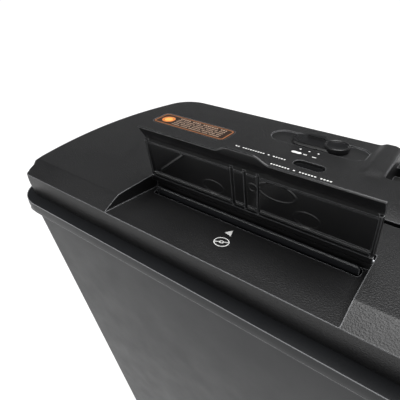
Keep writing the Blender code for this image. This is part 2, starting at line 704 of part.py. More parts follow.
def make_strippers():
    """Combs whose fingers lie between the discs and keep strips from wrapping round."""
    slot = DISC_PITCH - DISC_WIDTH - 1.0
    first = CUTTER_X[0] + 1.7 + DISC_WIDTH + 0.5
    for name, start, spine, root, tip in (
            ("stripper_front", first, -50.5, -46.5, -34.6),
            ("stripper_rear", first + DISC_PITCH / 2.0, 34.0, 30.0, 18.4)):
        outline = [(CUTTER_X[0] + 1.0, root)]
        for k in range(DISC_COUNT - 1):
            left = start + k * DISC_PITCH
            outline += [(left, root), (left, tip), (left + slot, tip), (left + slot, root)]
        outline += [(CUTTER_X[1] - 1.0, root), (CUTTER_X[1] - 1.0, spine), (CUTTER_X[0] + 1.0, spine)]
        prism_z(name, outline, (276.5, 279.5), "nylon")


def make_plates(axis_a, axis_b, motor_axis):
    """Two end plates for the cutters and the plate that carries the motor."""
    def plate(name, x, holes):
        body = box(name, x, PLATE_Y, PLATE_Z, "zinc_plate")
        for number, (centre, radius) in enumerate(holes):
            cut(body, rod_x(f"{name}_hole_{number}", centre, (x[0] - 1.0, x[1] + 1.0), radius))

    bush = SHAFT_RADIUS + 2.7
    cutters = [(CUTTER_FRONT, bush + GAP), (CUTTER_REAR, bush + GAP)]
    axles = [(axis_a, AXLE_RADIUS + GAP), (axis_b, AXLE_RADIUS + GAP)]
    plate("end_plate_left", PLATE_LEFT, cutters + axles)
    plate("end_plate_right", PLATE_RIGHT, cutters)
    plate("motor_plate", MOTOR_PLATE, [(motor_axis, 9.0), *axles])
    for side, x in (("left", PLATE_LEFT), ("right", PLATE_RIGHT)):
        for place, centre in (("front", CUTTER_FRONT), ("rear", CUTTER_REAR)):
            name = f"bearing_{place}_{side}"
            ring = rod_x(name, centre, (x[0] - 0.4, x[1] + 0.4), bush, "sintered_bronze")
            cut(ring, rod_x(name + "_bore", centre, (x[0] - 2.0, x[1] + 2.0), SHAFT_RADIUS + GAP))
    for number, centre in enumerate(TIE_RODS, start=1):
        rod_x(f"tie_rod_{number}", centre, (PLATE_LEFT[1] + GAP, PLATE_RIGHT[0] - GAP),
              TIE_ROD_RADIUS, "steel", 16)


# ---------------------------------------------------------------- gears and motor

def gear_outline(teeth, module, phase):
    """Straight-flanked teeth about the origin, one tooth centred on the phase angle."""
    pitch_radius = teeth * module / 2.0
    flanks = []
    for height in (-1.2 * module, 0.85 * module):
        half_width = 0.655 * module - height * PRESSURE_SLOPE
        radius = pitch_radius + height
        flanks.append((radius, half_width / radius))
    (root_radius, root_half), (tip_radius, tip_half) = flanks
    points = []
    for k in range(teeth):
        middle = phase + 2.0 * math.pi * k / teeth
        for radius, angle in ((root_radius, -root_half), (tip_radius, -tip_half),
                              (tip_radius, tip_half), (root_radius, root_half)):
            points.append((radius * math.cos(middle + angle), radius * math.sin(middle + angle)))
    return points


def gear_disc(name, centre, x, teeth, module, phase, finish=None):
    outline = [(centre[0] + y, centre[1] + z) for y, z in gear_outline(teeth, module, phase)]
    return prism_x(name, outline, x, finish)


def offset(centre, distance, angle):
    return (centre[0] + distance * math.cos(angle), centre[1] + distance * math.sin(angle))


def gap_phase(angle, teeth):
    """Phase that puts a gap between teeth on the side facing back along a mesh direction."""
    return angle + math.pi + math.pi / teeth


def bored(gear, centre, x, radius):
    cut(gear, rod_x(gear.name + "_bore", centre, (x[0] - 1.0, x[1] + 1.0), radius))


def make_gear_train():
    """Motor pinion, two compound gears and the drive gear on the rear cutter."""
    axis_b = offset(CUTTER_REAR, (DRIVE_TEETH + PINION_B_TEETH) * MODULE_3 / 2.0, MESH_B_ANGLE)
    axis_a = offset(axis_b, (WHEEL_B_TEETH + PINION_A_TEETH) * MODULE_2 / 2.0, MESH_A_ANGLE)
    motor_axis = offset(axis_a, (WHEEL_A_TEETH + MOTOR_TEETH) * MODULE_1 / 2.0, MESH_MOTOR_ANGLE)

    drive = gear_disc("drive_gear", CUTTER_REAR, (-91.0, -84.5), DRIVE_TEETH, MODULE_3, MESH_B_ANGLE, "steel")
    bored(drive, CUTTER_REAR, (-91.0, -84.5), SHAFT_RADIUS + GAP)

    gear_b = gear_disc("gear_b", axis_b, (-97.0, -92.0), WHEEL_B_TEETH, MODULE_2, MESH_A_ANGLE, "nylon")
    pinion_b = gear_disc("pinion_b", axis_b, (-92.5, -84.2), PINION_B_TEETH, MODULE_3,
                         gap_phase(MESH_B_ANGLE, PINION_B_TEETH))
    join(gear_b, pinion_b)
    bored(gear_b, axis_b, (-97.0, -84.2), AXLE_RADIUS + GAP)

    gear_a = gear_disc("gear_a", axis_a, (-101.5, -98.0), WHEEL_A_TEETH, MODULE_1, MESH_MOTOR_ANGLE, "nylon")
    pinion_a = gear_disc("pinion_a", axis_a, (-98.5, -91.8), PINION_A_TEETH, MODULE_2,
                         gap_phase(MESH_A_ANGLE, PINION_A_TEETH))
    join(gear_a, pinion_a)
    bored(gear_a, axis_a, (-101.5, -91.8), AXLE_RADIUS + GAP)

    pinion = gear_disc("motor_pinion", motor_axis, (-101.8, -97.6), MOTOR_TEETH, MODULE_1,
                       gap_phase(MESH_MOTOR_ANGLE, MOTOR_TEETH), "steel")
    shaft = rod_x("rotor_shaft", motor_axis, (-120.0, -101.3), MOTOR_SHAFT_RADIUS, sides=16)
    join(pinion, shaft)

    for name, axis in (("axle_a", axis_a), ("axle_b", axis_b)):
        rod_x(name, axis, (MOTOR_PLATE[0] + 0.2, PLATE_LEFT[1] - 0.2), AXLE_RADIUS, "steel")
    return axis_a, axis_b, motor_axis


def make_sync_gears():
    """Equal gears that turn the two cutters against each other."""
    x = (148.2, 152.2)
    for name, centre, phase in (("sync_gear_rear", CUTTER_REAR, math.pi),
                                ("sync_gear_front", CUTTER_FRONT, math.pi / SYNC_TEETH)):
        gear = gear_disc(name, centre, x, SYNC_TEETH, SYNC_MODULE, phase, "steel")
        bored(gear, centre, x, SHAFT_RADIUS + GAP)


def make_motor(axis):
    profile = [(MOTOR_X[0], 0.0), (MOTOR_X[0], MOTOR_RADIUS - 4.0), (MOTOR_X[0] + 3.0, MOTOR_RADIUS),
               (MOTOR_X[1] - 2.0, MOTOR_RADIUS), (MOTOR_X[1], MOTOR_RADIUS - 2.0), (MOTOR_X[1], 0.0)]
    motor = turned_x("motor", profile, axis, "zinc_plate", 32)
    cut(motor, rod_x("motor_bore", axis, (-121.0, -100.0), MOTOR_SHAFT_RADIUS + GAP, sides=16))
    top = axis[1] + MOTOR_RADIUS + GAP
    box("thermal_cutout", (-138.0, -126.0), (axis[0] - 4.0, axis[0] + 4.0), (top, top + 4.0), "component_black")


def make_electronics():
    """Control board behind the motor, its relay and capacitor, and the cord gland."""
    box("control_board", (-152.0, -108.0), (10.0, 64.0), (322.0, 323.6), "circuit_board")
    box("relay", (-148.0, -130.0), (16.0, 31.0), (323.9, 335.0), "component_black", bevel=0.6)
    rod("capacitor", (-118.0, 26.0, 323.9), (-118.0, 26.0, 336.0), 6.0, "component_black", 20)
    gland = rod("cord_gland", (-120.0, 79.0, 327.0), (-120.0, 88.6, 327.0), 5.0, "rubber", 20)
    join(gland, rod("gland_flange", (-120.0, 86.6, 327.0), (-120.0, 88.6, 327.0), 6.4, sides=20))
    cut(gland, rod("gland_bore", (-120.0, 70.0, 327.0), (-120.0, 95.0, 327.0), 3.2, sides=16))


def main():
    clear_scene()
    make_collection(COLLECTION)
    make_collection(CUTTERS)
    make_bin()
    make_head_cover()
    make_lower_housing()
    make_screws()
    make_guides()
    make_flap()
    make_mode_switch()
    make_button()
    make_label()
    make_interlock()
    make_cutters()
    make_strippers()
    axis_a, axis_b, motor_axis = make_gear_train()
    make_plates(axis_a, axis_b, motor_axis)
    make_sync_gears()
    make_motor(motor_axis)
    make_electronics()


main()
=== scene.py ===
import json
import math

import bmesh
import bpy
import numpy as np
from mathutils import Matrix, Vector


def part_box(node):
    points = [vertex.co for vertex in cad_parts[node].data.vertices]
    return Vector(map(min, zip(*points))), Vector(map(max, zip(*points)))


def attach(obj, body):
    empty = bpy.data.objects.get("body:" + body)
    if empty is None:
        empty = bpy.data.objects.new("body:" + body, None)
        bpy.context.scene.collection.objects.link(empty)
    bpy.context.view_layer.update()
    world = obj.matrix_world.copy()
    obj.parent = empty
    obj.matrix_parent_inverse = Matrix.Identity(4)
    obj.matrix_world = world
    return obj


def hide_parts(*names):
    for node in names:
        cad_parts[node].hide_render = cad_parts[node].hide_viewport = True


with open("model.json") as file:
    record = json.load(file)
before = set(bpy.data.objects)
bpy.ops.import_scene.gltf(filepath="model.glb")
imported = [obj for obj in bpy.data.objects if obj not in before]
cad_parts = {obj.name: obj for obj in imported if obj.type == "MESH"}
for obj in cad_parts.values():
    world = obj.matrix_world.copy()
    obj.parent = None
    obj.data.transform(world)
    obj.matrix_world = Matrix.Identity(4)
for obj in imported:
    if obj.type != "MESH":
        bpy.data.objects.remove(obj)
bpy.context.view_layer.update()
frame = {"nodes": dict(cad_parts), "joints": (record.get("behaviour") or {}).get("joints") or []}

# %% [markdown]
# # A desk-side paper shredder, finished
# The frame that is loaded above holds the shredder's solids where they belong: the bin, the lift-off
# head, its flap, its controls and the cutter block inside. They are correct but plain, with hard edges
# and flat colours. This lesson makes the fine skins that a person sees, and gives every piece the
# finish of the material it is made of. All sizes below are in millimetres, in the frame's own axes:
# X runs along the head, -Y is the front, and Z is up from the floor.

MM = 0.001
scene = bpy.context.scene


def corners(node):
    """Lowest and highest corner of a frame node, in millimetres."""
    low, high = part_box(node)
    return np.array(low) / MM, np.array(high) / MM


# %% [markdown]
# ## The studio
# The object stands on a pale sweep of paper. One large soft box hangs overhead, a little to the right
# and reaching back, so that faces which tip towards the ceiling carry a broad sheen while level faces,
# which mirror the dim wall behind, stay dark. The pale floor is the second light: the bin's walls
# lean outwards as they rise, so they mirror the floor and look lighter than the head. A long narrow
# strip lamp at the front left lights the edges that turn that way. A ring of small lamps would give
# many little highlights instead, which black plastic shows at once.

# %% Floor, world, soft box and camera
# The sweep, in metres: flat out to here, then rising out to there, and its height at the far edge.
SWEEP_FLAT, SWEEP_FAR, SWEEP_HEIGHT = 20.0, 40.0, 7.0
PAPER_GLOW = 1.0
WORLD_STRENGTH = 0.09
# Each lamp: its name, width and depth in metres, place, the point it faces, and power in watts.
LAMPS = [("soft_box", (1.4, 1.4), (0.35, 0.12, 1.9), (0.35, 0.12, 0.9), 40.0),
         ("strip_light", (2.4, 0.12), (-0.75, -1.35, 1.05), (0.0, -0.05, 0.33), 12.0)]
CAMERA_PLACE = (73.9, -202.4, 463.6)
CAMERA_YAW = math.radians(37.32)
CAMERA_PITCH = math.radians(32.91)
CAMERA_ROLL = math.radians(0.865)
CAMERA_LENS = 35.24
SENSOR_WIDTH = 36.0


def linear(hex_colour):
    """A linear RGBA colour from sRGB hex such as "8A8F94": v / 12.92 near black, else a 2.4 power."""
    channels = []
    for start in (0, 2, 4):
        v = int(hex_colour[start:start + 2], 16) / 255.0
        channels.append(v / 12.92 if v <= 0.04045 else ((v + 0.055) / 1.055) ** 2.4)
    return (*channels, 1.0)


def node(tree, kind, inputs=None, **settings):
    """Add a shader node. inputs maps a socket to a value, or to another node's output to link.
    A colour Mix has its factor at socket 0, its colours at 6 and 7, and its result at output 2."""
    made = tree.nodes.new("ShaderNode" + kind)
    for key, value in settings.items():
        setattr(made, key, value)
    for key, value in (inputs or {}).items():
        if isinstance(value, bpy.types.NodeSocket):
            tree.links.new(value, made.inputs[key])
        else:
            made.inputs[key].default_value = value
    return made


def start_material(name, roughness, metallic=0.0, ior=None, specular=0.5):
    """A new material with its node tree and its Principled shader, whose constants are set directly."""
    material = bpy.data.materials.new(name)
    material.use_nodes = True
    shader = material.node_tree.nodes["Principled BSDF"]
    shader.inputs["Roughness"].default_value = roughness
    shader.inputs["Metallic"].default_value = metallic
    shader.inputs["Specular IOR Level"].default_value = specular
    if ior:
        shader.inputs["IOR"].default_value = ior
    return material, material.node_tree, shader


def make_studio():
    """Floor, world, lamps and camera. The floor is a disc of paper that curves up far away: its height
    is that of the far edge times the square of the share of the way from the flat part to there."""
    paper, tree, shader = start_material("white_paper_sweep", 0.9)
    place = node(tree, "TexCoord").outputs["Object"]
    mottle = node(tree, "TexNoise", {"Vector": place, "Scale": 3.0, "Detail": 1.0}).outputs["Fac"]
    tone = node(tree, "Mix", {0: mottle, 6: linear("6A6A6A"), 7: linear("707070")}, data_type="RGBA")
    tree.links.new(tone.outputs[2], shader.inputs["Base Color"])
    shader.inputs["Emission Color"].default_value = linear("FFFFFF")
    shader.inputs["Emission Strength"].default_value = PAPER_GLOW

    radius = np.concatenate([[0.01], np.linspace(SWEEP_FLAT, SWEEP_FAR, 9)])[:, None]
    angle = np.linspace(0.0, 2.0 * math.pi, 48, endpoint=False)[None, :]
    share = np.clip((radius - SWEEP_FLAT) / (SWEEP_FAR - SWEEP_FLAT), 0.0, 1.0)
    rise = np.broadcast_to(SWEEP_HEIGHT * share * share, (radius.size, angle.size))
    points = np.stack([radius * np.cos(angle), radius * np.sin(angle), rise], -1)
    index = np.arange(rise.size).reshape(rise.shape)
    ahead = np.roll(index, -1, axis=1)
    quads = np.stack([index[:-1], index[1:], ahead[1:], ahead[:-1]], -1).reshape(-1, 4).tolist()
    mesh = bpy.data.meshes.new("floor")
    mesh.from_pydata(points.reshape(-1, 3).tolist(), [], quads + [index[0].tolist()])
    mesh.materials.append(paper)
    floor = bpy.data.objects.new("floor", mesh)
    scene.collection.objects.link(floor)

    world = bpy.data.worlds.new("dim_studio")
    world.use_nodes = True
    background = world.node_tree.nodes["Background"]
    background.inputs["Color"].default_value = linear("D8DCE0")
    background.inputs["Strength"].default_value = WORLD_STRENGTH
    scene.world = world

    for name, size, place, target, power in LAMPS:
        light = bpy.data.lights.new(name, "AREA")
        light.shape = "RECTANGLE"
        light.size, light.size_y = size
        light.energy = power
        lamp = bpy.data.objects.new(name, light)
        lamp.location = place
        away = Vector(place) - Vector(target)
        lamp.rotation_euler = away.to_track_quat("Z", "Y").to_euler()
        scene.collection.objects.link(lamp)

    data = bpy.data.cameras.new("camera")
    data.lens = CAMERA_LENS
    data.sensor_width = SENSOR_WIDTH
    data.clip_start = 0.01
    camera = bpy.data.objects.new("camera", data)
    upright = Matrix.Rotation(math.pi / 2.0 - CAMERA_PITCH, 4, "X")
    turn = Matrix.Rotation(CAMERA_YAW, 4, "Z") @ upright @ Matrix.Rotation(-CAMERA_ROLL, 4, "Z")
    camera.matrix_world = Matrix.Translation(Vector(CAMERA_PLACE) * MM) @ turn
    scene.collection.objects.link(camera)
    scene.camera = camera
    scene.view_settings.view_transform = "Standard"


make_studio()
print("studio ready, camera at", CAMERA_PLACE)

# %% [markdown]
# ## Moulded plastics
# Nearly all that shows is injection-moulded black plastic. Its look comes from the mould: the head's
# ABS copies a spark-eroded steel surface, a fine random grain that breaks highlights into sparkle,
# while the bin's polypropylene copies a finer blasted mould and looks satin. The grain could be painted
# or be an image. Here it is worked out: noise at the size of the grain drives a bump, and slower noise
# shifts roughness and tone, as flow and handling do. Where an edge turns, the difference between a
# widened normal and the true one marks the edge, and the edge is painted paler: a painted highlight in
# place of the glint of light along it.

# %% Plastic finishes
EDGE_WIDTH = 0.8
# Pale colour of the painted highlight that turned plastic edges are mixed towards.
PAINTED_EDGE_HIGHLIGHT = "B0B1B4"
CLOUD_GRAINS = 60.0


def edge_mask(tree, width_mm):
    """0 on flat ground to 1 on a turned edge. The cosine between the widened and the true normal is
    spread so that 0.995 gives 0 and 0.85 gives 1."""
    wide = node(tree, "Bevel", {"Radius": width_mm * MM}, samples=4).outputs["Normal"]
    true = node(tree, "NewGeometry").outputs["Normal"]
    cosine = node(tree, "VectorMath", {0: wide, 1: true}, operation="DOT_PRODUCT").outputs["Value"]
    return node(tree, "MapRange", {"Value": cosine, "From Min": 0.995, "From Max": 0.85,
                                   "To Min": 0.0, "To Max": 1.0}).outputs["Result"]


def moulded(name, dark, pale, roughness, grain_mm, relief_mm, ior=1.53, edges=0.6, specular=0.5):
    """Plastic from a textured mould. Bump = fine noise plus pits at the grain's size; tone and
    roughness = noise CLOUD_GRAINS grains wide, between the two colours and about a tenth either way.
    edges says how far a turned edge goes towards the pale colour of a painted edge highlight."""
    material, tree, shader = start_material(name, roughness, ior=ior, specular=specular)
    place = node(tree, "TexCoord").outputs["Object"]
    grain = node(tree, "TexNoise", {"Vector": place, "Scale": 1.0 / (grain_mm * MM), "Detail": 2.5,
                                    "Roughness": 0.65}).outputs["Fac"]
    pits = node(tree, "TexVoronoi", {"Vector": place, "Scale": 0.7 / (grain_mm * MM)}).outputs["Distance"]
    height = node(tree, "Math", {0: grain, 1: pits}, operation="ADD").outputs["Value"]
    bump = node(tree, "Bump", {"Height": height, "Strength": 1.0,
                               "Distance": relief_mm * MM}).outputs["Normal"]
    cloud = node(tree, "TexNoise", {"Vector": place, "Scale": 1.0 / (CLOUD_GRAINS * grain_mm * MM),
                                    "Detail": 3.0}).outputs["Fac"]
    tone = node(tree, "Mix", {0: cloud, 6: linear(dark), 7: linear(pale)}, data_type="RGBA").outputs[2]
    rough = node(tree, "MapRange", {"Value": cloud, "From Min": 0.3, "From Max": 0.7,
                                    "To Min": roughness * 0.92, "To Max": roughness * 1.1}).outputs["Result"]
    if edges:
        # Painted highlight: a turned edge is mixed towards a pale colour in place of the glint of light on
        # it.
        mask = edge_mask(tree, EDGE_WIDTH)
        edge_highlight = node(tree, "Math", {0: mask, 1: edges}, operation="MULTIPLY").outputs["Value"]
        tone = node(tree, "Mix", {0: edge_highlight, 6: tone, 7: linear(PAINTED_EDGE_HIGHLIGHT)}, data_type="RGBA").outputs[2]
        smoothed = node(tree, "Math", {0: mask, 1: -0.1}, operation="MULTIPLY").outputs["Value"]
        rough = node(tree, "Math", {0: rough, 1: smoothed}, operation="ADD").outputs["Value"]
    tree.links.new(tone, shader.inputs["Base Color"])
    tree.links.new(rough, shader.inputs["Roughness"])
    tree.links.new(bump, shader.inputs["Normal"])
    return material


# Spark-eroded grain is 0.1 to 0.2 mm across; it is drawn at 0.6 mm so that it can be seen.
head_abs = moulded("black_ABS_spark_grain", "0D0D0E", "131314", 0.46, 0.6, 0.10)
# Blasted moulds give a grain near 0.05 mm; it is drawn at 0.35 mm.
bin_polypropylene = moulded("charcoal_polypropylene_satin", "18191B", "1E1F21", 0.40, 0.35, 0.010,
                            ior=1.49, specular=0.24)
# Plain and polished moulds leave ripples of about a tenth of a millimetre; they too are drawn coarser.
inner_abs = moulded("black_ABS_plain_mould", "101011", "171718", 0.34, 0.6, 0.004, edges=0.0)
flap_abs = moulded("black_ABS_fine_mould", "09090A", "0E0E0F", 0.30, 0.6, 0.004, edges=0.22)
gloss_abs = moulded("black_ABS_polished", "070708", "0D0D0E", 0.16, 1.2, 0.002, edges=0.0)
print("plastics made")

# %% [markdown]
# ## Skins from numbers
# A moulded shell is a stack of closed rings: an outline seen from above, carried up a profile that says
# how far each ring steps in and how high it lies. Pockets are the same thing turned into tools: a ring
# stack whose top flares outwards by a quarter circle, so that subtracting it leaves a pocket with a
# rounded lip. Bevelling afterwards would be the usual way, but a bevel on a Boolean's edges breaks where
# small arcs meet long faces; a flared tool gives the same rounding and cannot fail.

# %% Ring stacks, solids and Booleans
SHARP = math.radians(32.0)
END_APEX = -8.0


def solid(name, points, faces):
    """A closed mesh object from points in millimetres; doubles merged, faces turned outwards."""
    mesh = bpy.data.meshes.new(name)
    mesh.from_pydata((np.asarray(points, float).reshape(-1, 3) * MM).tolist(), [], faces)
    bm = bmesh.new()
    bm.from_mesh(mesh)
    bmesh.ops.remove_doubles(bm, verts=bm.verts, dist=1e-7)
    bmesh.ops.recalc_face_normals(bm, faces=bm.faces)
    bm.to_mesh(mesh)
    bm.free()
    obj = bpy.data.objects.new(name, mesh)
    scene.collection.objects.link(obj)
    return obj


def ring_stack(name, rings):
    """A solid through rings of equal length, shape (rows, columns, 3): quads between neighbours,
    and one face over the first and the last ring."""
    rings = np.asarray(rings, float)
    rows, columns = rings.shape[:2]
    index = np.arange(rows * columns).reshape(rows, columns)
    nxt = np.roll(index, -1, axis=1)
    quads = np.stack([index[:-1], nxt[:-1], nxt[1:], index[1:]], axis=-1).reshape(-1, 4).tolist()
    return solid(name, rings, quads + [index[0, ::-1].tolist(), index[-1].tolist()])


def settle(obj):
    """Apply the object's modifiers by taking its evaluated mesh."""
    graph = bpy.context.evaluated_depsgraph_get()
    mesh = bpy.data.meshes.new_from_object(obj.evaluated_get(graph))
    obj.modifiers.clear()
    obj.data = mesh


def combine(obj, tools, operation):
    """Boolean the object with each tool in turn, then throw the tools away."""
    for tool in tools:
        step = obj.modifiers.new(tool.name, "BOOLEAN")
        step.operation = operation
        step.solver = "EXACT"
        step.object = tool
    settle(obj)
    for tool in tools:
        bpy.data.objects.remove(tool)


def finish_piece(obj, material, body, replaced=(), sharp=SHARP):
    """Smooth shading with sharp corners kept, area-weighted normals, a material, and a body to ride."""
    obj.data.materials.clear()
    obj.data.materials.append(material)
    obj.data.shade_smooth()
    obj.data.set_sharp_from_angle(angle=sharp)
    weighted = obj.modifiers.new("even_normals", "WEIGHTED_NORMAL")
    weighted.keep_sharp = True
    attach(obj, body)
    if replaced:
        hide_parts(*replaced)
    print(obj.name, "faces", len(obj.data.polygons), "on", body)


def plan_outline(half_length, half_depth, front_radius, back_radius, bows, arc=12, end=22):
    """Plan of the bin and head, shape (n, 2), anticlockwise. An end lies farthest out at
    y = END_APEX and steps back by bow * share^2, where share runs from 0 there to 1 at the front
    or back side. The long sides are straight. A corner is an arc that meets the end's slope."""
    def end_at(y):
        side = (y > END_APEX).astype(int)
        reach = half_depth + np.array([END_APEX, -END_APEX])[side]
        share, bow = np.abs(y - END_APEX) / reach, np.array(bows)[side]
        return half_length - bow * share ** 2, np.arctan(2.0 * bow * share / reach)

    def corner(sign, radius):
        lean = 0.0
        for _ in range(6):
            out, lean = end_at(np.array(sign * (half_depth - radius + radius * math.sin(lean))))
        angle = np.linspace(math.pi / 2.0, lean, arc)
        return np.column_stack([out - radius * math.cos(lean) + radius * np.cos(angle),
                                sign * (half_depth - radius + radius * np.sin(angle))])

    front, back = corner(-1.0, front_radius), corner(1.0, back_radius)
    y = np.linspace(front[-1, 1], back[-1, 1], end)[1:-1]
    right = np.vstack([front, np.column_stack([end_at(y)[0], y]), back[::-1]])
    return np.vstack([right, right[::-1] * [-1.0, 1.0]])


def at_height(outline, z):
    """An (n, 2) outline with a height added: one z, or one for each point."""
    return np.column_stack([outline, np.broadcast_to(z, len(outline))])


def rounded_box(x, y, radius, grow=0.0, arc=10):
    """Plan outline of a rectangle with round corners, pushed outwards by grow. With the radius at
    half the width it is a slot with half-round ends."""
    radius = max(radius + grow, 0.02)
    angle = np.linspace(0.0, math.pi / 2.0, arc)
    pieces = []
    for turn, (cx, cy) in enumerate(((x[1] + grow - radius, y[1] + grow - radius),
                                     (x[0] - grow + radius, y[1] + grow - radius),
                                     (x[0] - grow + radius, y[0] - grow + radius),
                                     (x[1] + grow - radius, y[0] - grow + radius))):
        a = angle + turn * math.pi / 2.0
        pieces.append(np.column_stack([cx + radius * np.cos(a), cy + radius * np.sin(a)]))
    return np.vstack(pieces)


def quarter(radius, steps=5):
    """A quarter circle as (out, up) steps: out = r (1 - cos a), up = r sin a - r, for a from 0 to 90."""
    angle = np.linspace(0.0, math.pi / 2.0, steps)
    return radius * (1.0 - np.cos(angle)), radius * np.sin(angle) - radius


def pocket(name, x, y, radius, bottom, surface, lip=0.5, foot=0.4):
    """A tool for a pocket with a rounded lip at the surface and a rounded foot at the bottom."""
    out, up = quarter(lip)
    levels = [(-foot, bottom), (-foot * 0.3, bottom + foot * 0.3), (0.0, bottom + foot)]
    levels += [(o, surface + 0.02 + u) for o, u in zip(out, up)]
    levels += [(lip, surface + 12.0)]
    return ring_stack(name, [at_height(rounded_box(x, y, radius, grow), z) for grow, z in levels])


def prism_x(name, outline, x):
    """A closed outline of (y, z) points carried along X between two ends."""
    return ring_stack(name, [[(end, y, z) for y, z in outline] for end in x])


def block(name, low, high, radius=0.4):
    """A plain block with rounded upright edges, for hidden thickenings."""
    outline = rounded_box((low[0], high[0]), (low[1], high[1]), radius, arc=3)
    return ring_stack(name, [at_height(outline, low[2]), at_height(outline, high[2])])


def round_bar(name, start, end, radius, sides=24):
    """A round bar between two points: a circle square to the line, at both ends."""
    start, end = np.array(start, float), np.array(end, float)
    along = (end - start) / np.linalg.norm(end - start)
    side = np.cross(along, [0.3, 0.5, 0.8])
    side /= np.linalg.norm(side)
    other = np.cross(along, side)
    angle = np.linspace(0.0, 2.0 * math.pi, sides, endpoint=False)[:, None]
    circle = radius * (np.cos(angle) * side + np.sin(angle) * other)
    return ring_stack(name, [start + circle, end + circle])


# %% [markdown]
# ## The bin
# The waste bin is one deep moulding whose walls lean in towards the floor. Its mouth is rolled: a flat
# land, a rounded nose, a short skirt and a hollow under it where the wall takes over. One ring stack
# makes inside, rim and outside at once, from a profile that is only a list of steps and heights.

# %% Waste bin
BIN_LOW, BIN_HIGH = corners("waste_bin")
BIN_TOP = BIN_HIGH[2]
RIM_OUT = 5.5
BIN_HALF_LENGTH = BIN_HIGH[0] - RIM_OUT
BIN_HALF_DEPTH = BIN_HIGH[1] - RIM_OUT
BIN_TAPER = 0.125
BIN_WALL = 2.2
BIN_FLOOR = 2.6
BIN_BOWS = (4.0, 13.0)
WALL_CORNER = 10.0
RIM_CORNER = 20.0
BACK_CORNER = 28.0
LEDGE_IN = 7.7
NOSE_ROUND = 0.45
SKIRT = 8.5
COVE = 2.6
# The post that pushes the interlock's plunger up stands on the inside of the right end wall.
POST_LOW, POST_HIGH = (158.8, -5.0, 292.0), (170.4, 5.0, 312.0)


def wall_ring(z, inset=0.0):
    """The bin's outline at a height: it shrinks by the taper for each millimetre below the rim."""
    shrink = BIN_TAPER * (BIN_TOP - z) + inset
    outline = plan_outline(BIN_HALF_LENGTH - shrink, BIN_HALF_DEPTH - shrink,
                           WALL_CORNER - 0.1 * shrink, BACK_CORNER - 0.4 * shrink,
                           (BIN_BOWS[0], BIN_BOWS[1] - 0.15 * shrink))
    return at_height(outline, z)


def rim_ring(out, drop, corner=RIM_CORNER):
    """The rim's outline, out from the wall line and down from the top."""
    outline = plan_outline(BIN_HALF_LENGTH + out, BIN_HALF_DEPTH + out, corner + out,
                           BACK_CORNER + out, BIN_BOWS)
    return at_height(outline, BIN_TOP - drop)


def make_waste_bin():
    """Inside wall, ledge, land, rounded nose, skirt, hollow, outside wall and rounded foot. The hollow
    is a cove: it steps in as sin a and down as 1 - cos a, then fades into the wall as a square."""
    rings = [wall_ring(BIN_FLOOR, BIN_WALL + 1.5), wall_ring(3.4, BIN_WALL + 0.3)]
    rings += [wall_ring(4.6, BIN_WALL)]
    rings += [wall_ring(z, BIN_WALL) for z in np.linspace(40.0, BIN_TOP - 8.0, 7)]
    rings += [rim_ring(-LEDGE_IN, 3.4), rim_ring(-LEDGE_IN, 0.5), rim_ring(0.2 - LEDGE_IN, 0.12)]
    rings += [rim_ring(0.5 - LEDGE_IN, 0.0)]
    out, up = quarter(NOSE_ROUND, 7)
    rings += [rim_ring(RIM_OUT + u, NOSE_ROUND - o) for o, u in zip(out, up)]
    rings += [rim_ring(RIM_OUT - 0.1, SKIRT * 0.5), rim_ring(RIM_OUT - 0.5, SKIRT * 0.78)]
    for share in np.linspace(0.0, 1.0, 7):
        a = share * math.pi / 2.0
        drop = SKIRT - 0.6 + 3.2 * (1.0 - math.cos(a))
        corner = RIM_CORNER + (WALL_CORNER - RIM_CORNER) * share
        rings.append(rim_ring(RIM_OUT - 0.7 - COVE * math.sin(a) ** 1.2, drop, corner))
    for share in np.linspace(0.2, 0.9, 5):
        rings.append(wall_ring(BIN_TOP - SKIRT - COVE - 7.0 * share, -3.2 * (1.0 - share) ** 2))
    rings += [wall_ring(z) for z in np.linspace(BIN_TOP - SKIRT - 10.5, 4.0, 9)]
    rings += [wall_ring(1.6, 0.3), wall_ring(0.5, 1.2), wall_ring(0.0, 2.6)]
    waste_bin = ring_stack("waste_bin_skin", rings)
    combine(waste_bin, [block("post", POST_LOW, POST_HIGH, 0.8)], "UNION")
    finish_piece(waste_bin, bin_polypropylene, "bin", ["waste_bin"])


make_waste_bin()

# %% [markdown]
# ## The head cover
# The upper shell of the head is the part that everybody sees: a shallow cap with bowed ends, round back
# corners and a long sloping front edge, with a disc tray, a paper throat, a switch track, a button
# hole, a label recess and a hand-hold sunk into it. The slope is not cut. Each ring of the stack is held
# back behind the line where the slope lies at that height, which lets the slope's two edges be rounded
# by the same profile that makes the slope.

# %% Head cover: shell
COVER_LOW, COVER_HIGH = corners("head_cover")
LABEL_LOW, LABEL_HIGH = corners("info_label")
TOP = LABEL_HIGH[2]
BOTTOM = COVER_LOW[2]
HEAD_HALF_LENGTH = COVER_HIGH[0]
FRONT = COVER_LOW[1]
HEAD_HALF_DEPTH = -FRONT
HEAD_BOWS = (10.5, 18.0)
HEAD_FRONT_CORNER = 2.5
HEAD_BACK_CORNER = 25.0
SLOPE_DEPTH = 12.2
SLOPE_DROP = 6.0
SLOPE_ANGLE = math.atan(SLOPE_DROP / SLOPE_DEPTH)
LOW_EDGE_ROUND = 0.25
HIGH_EDGE_ROUND = 4.0
TOP_ROUND = 1.0
TRAY_FALL = 3.6 / 38.0


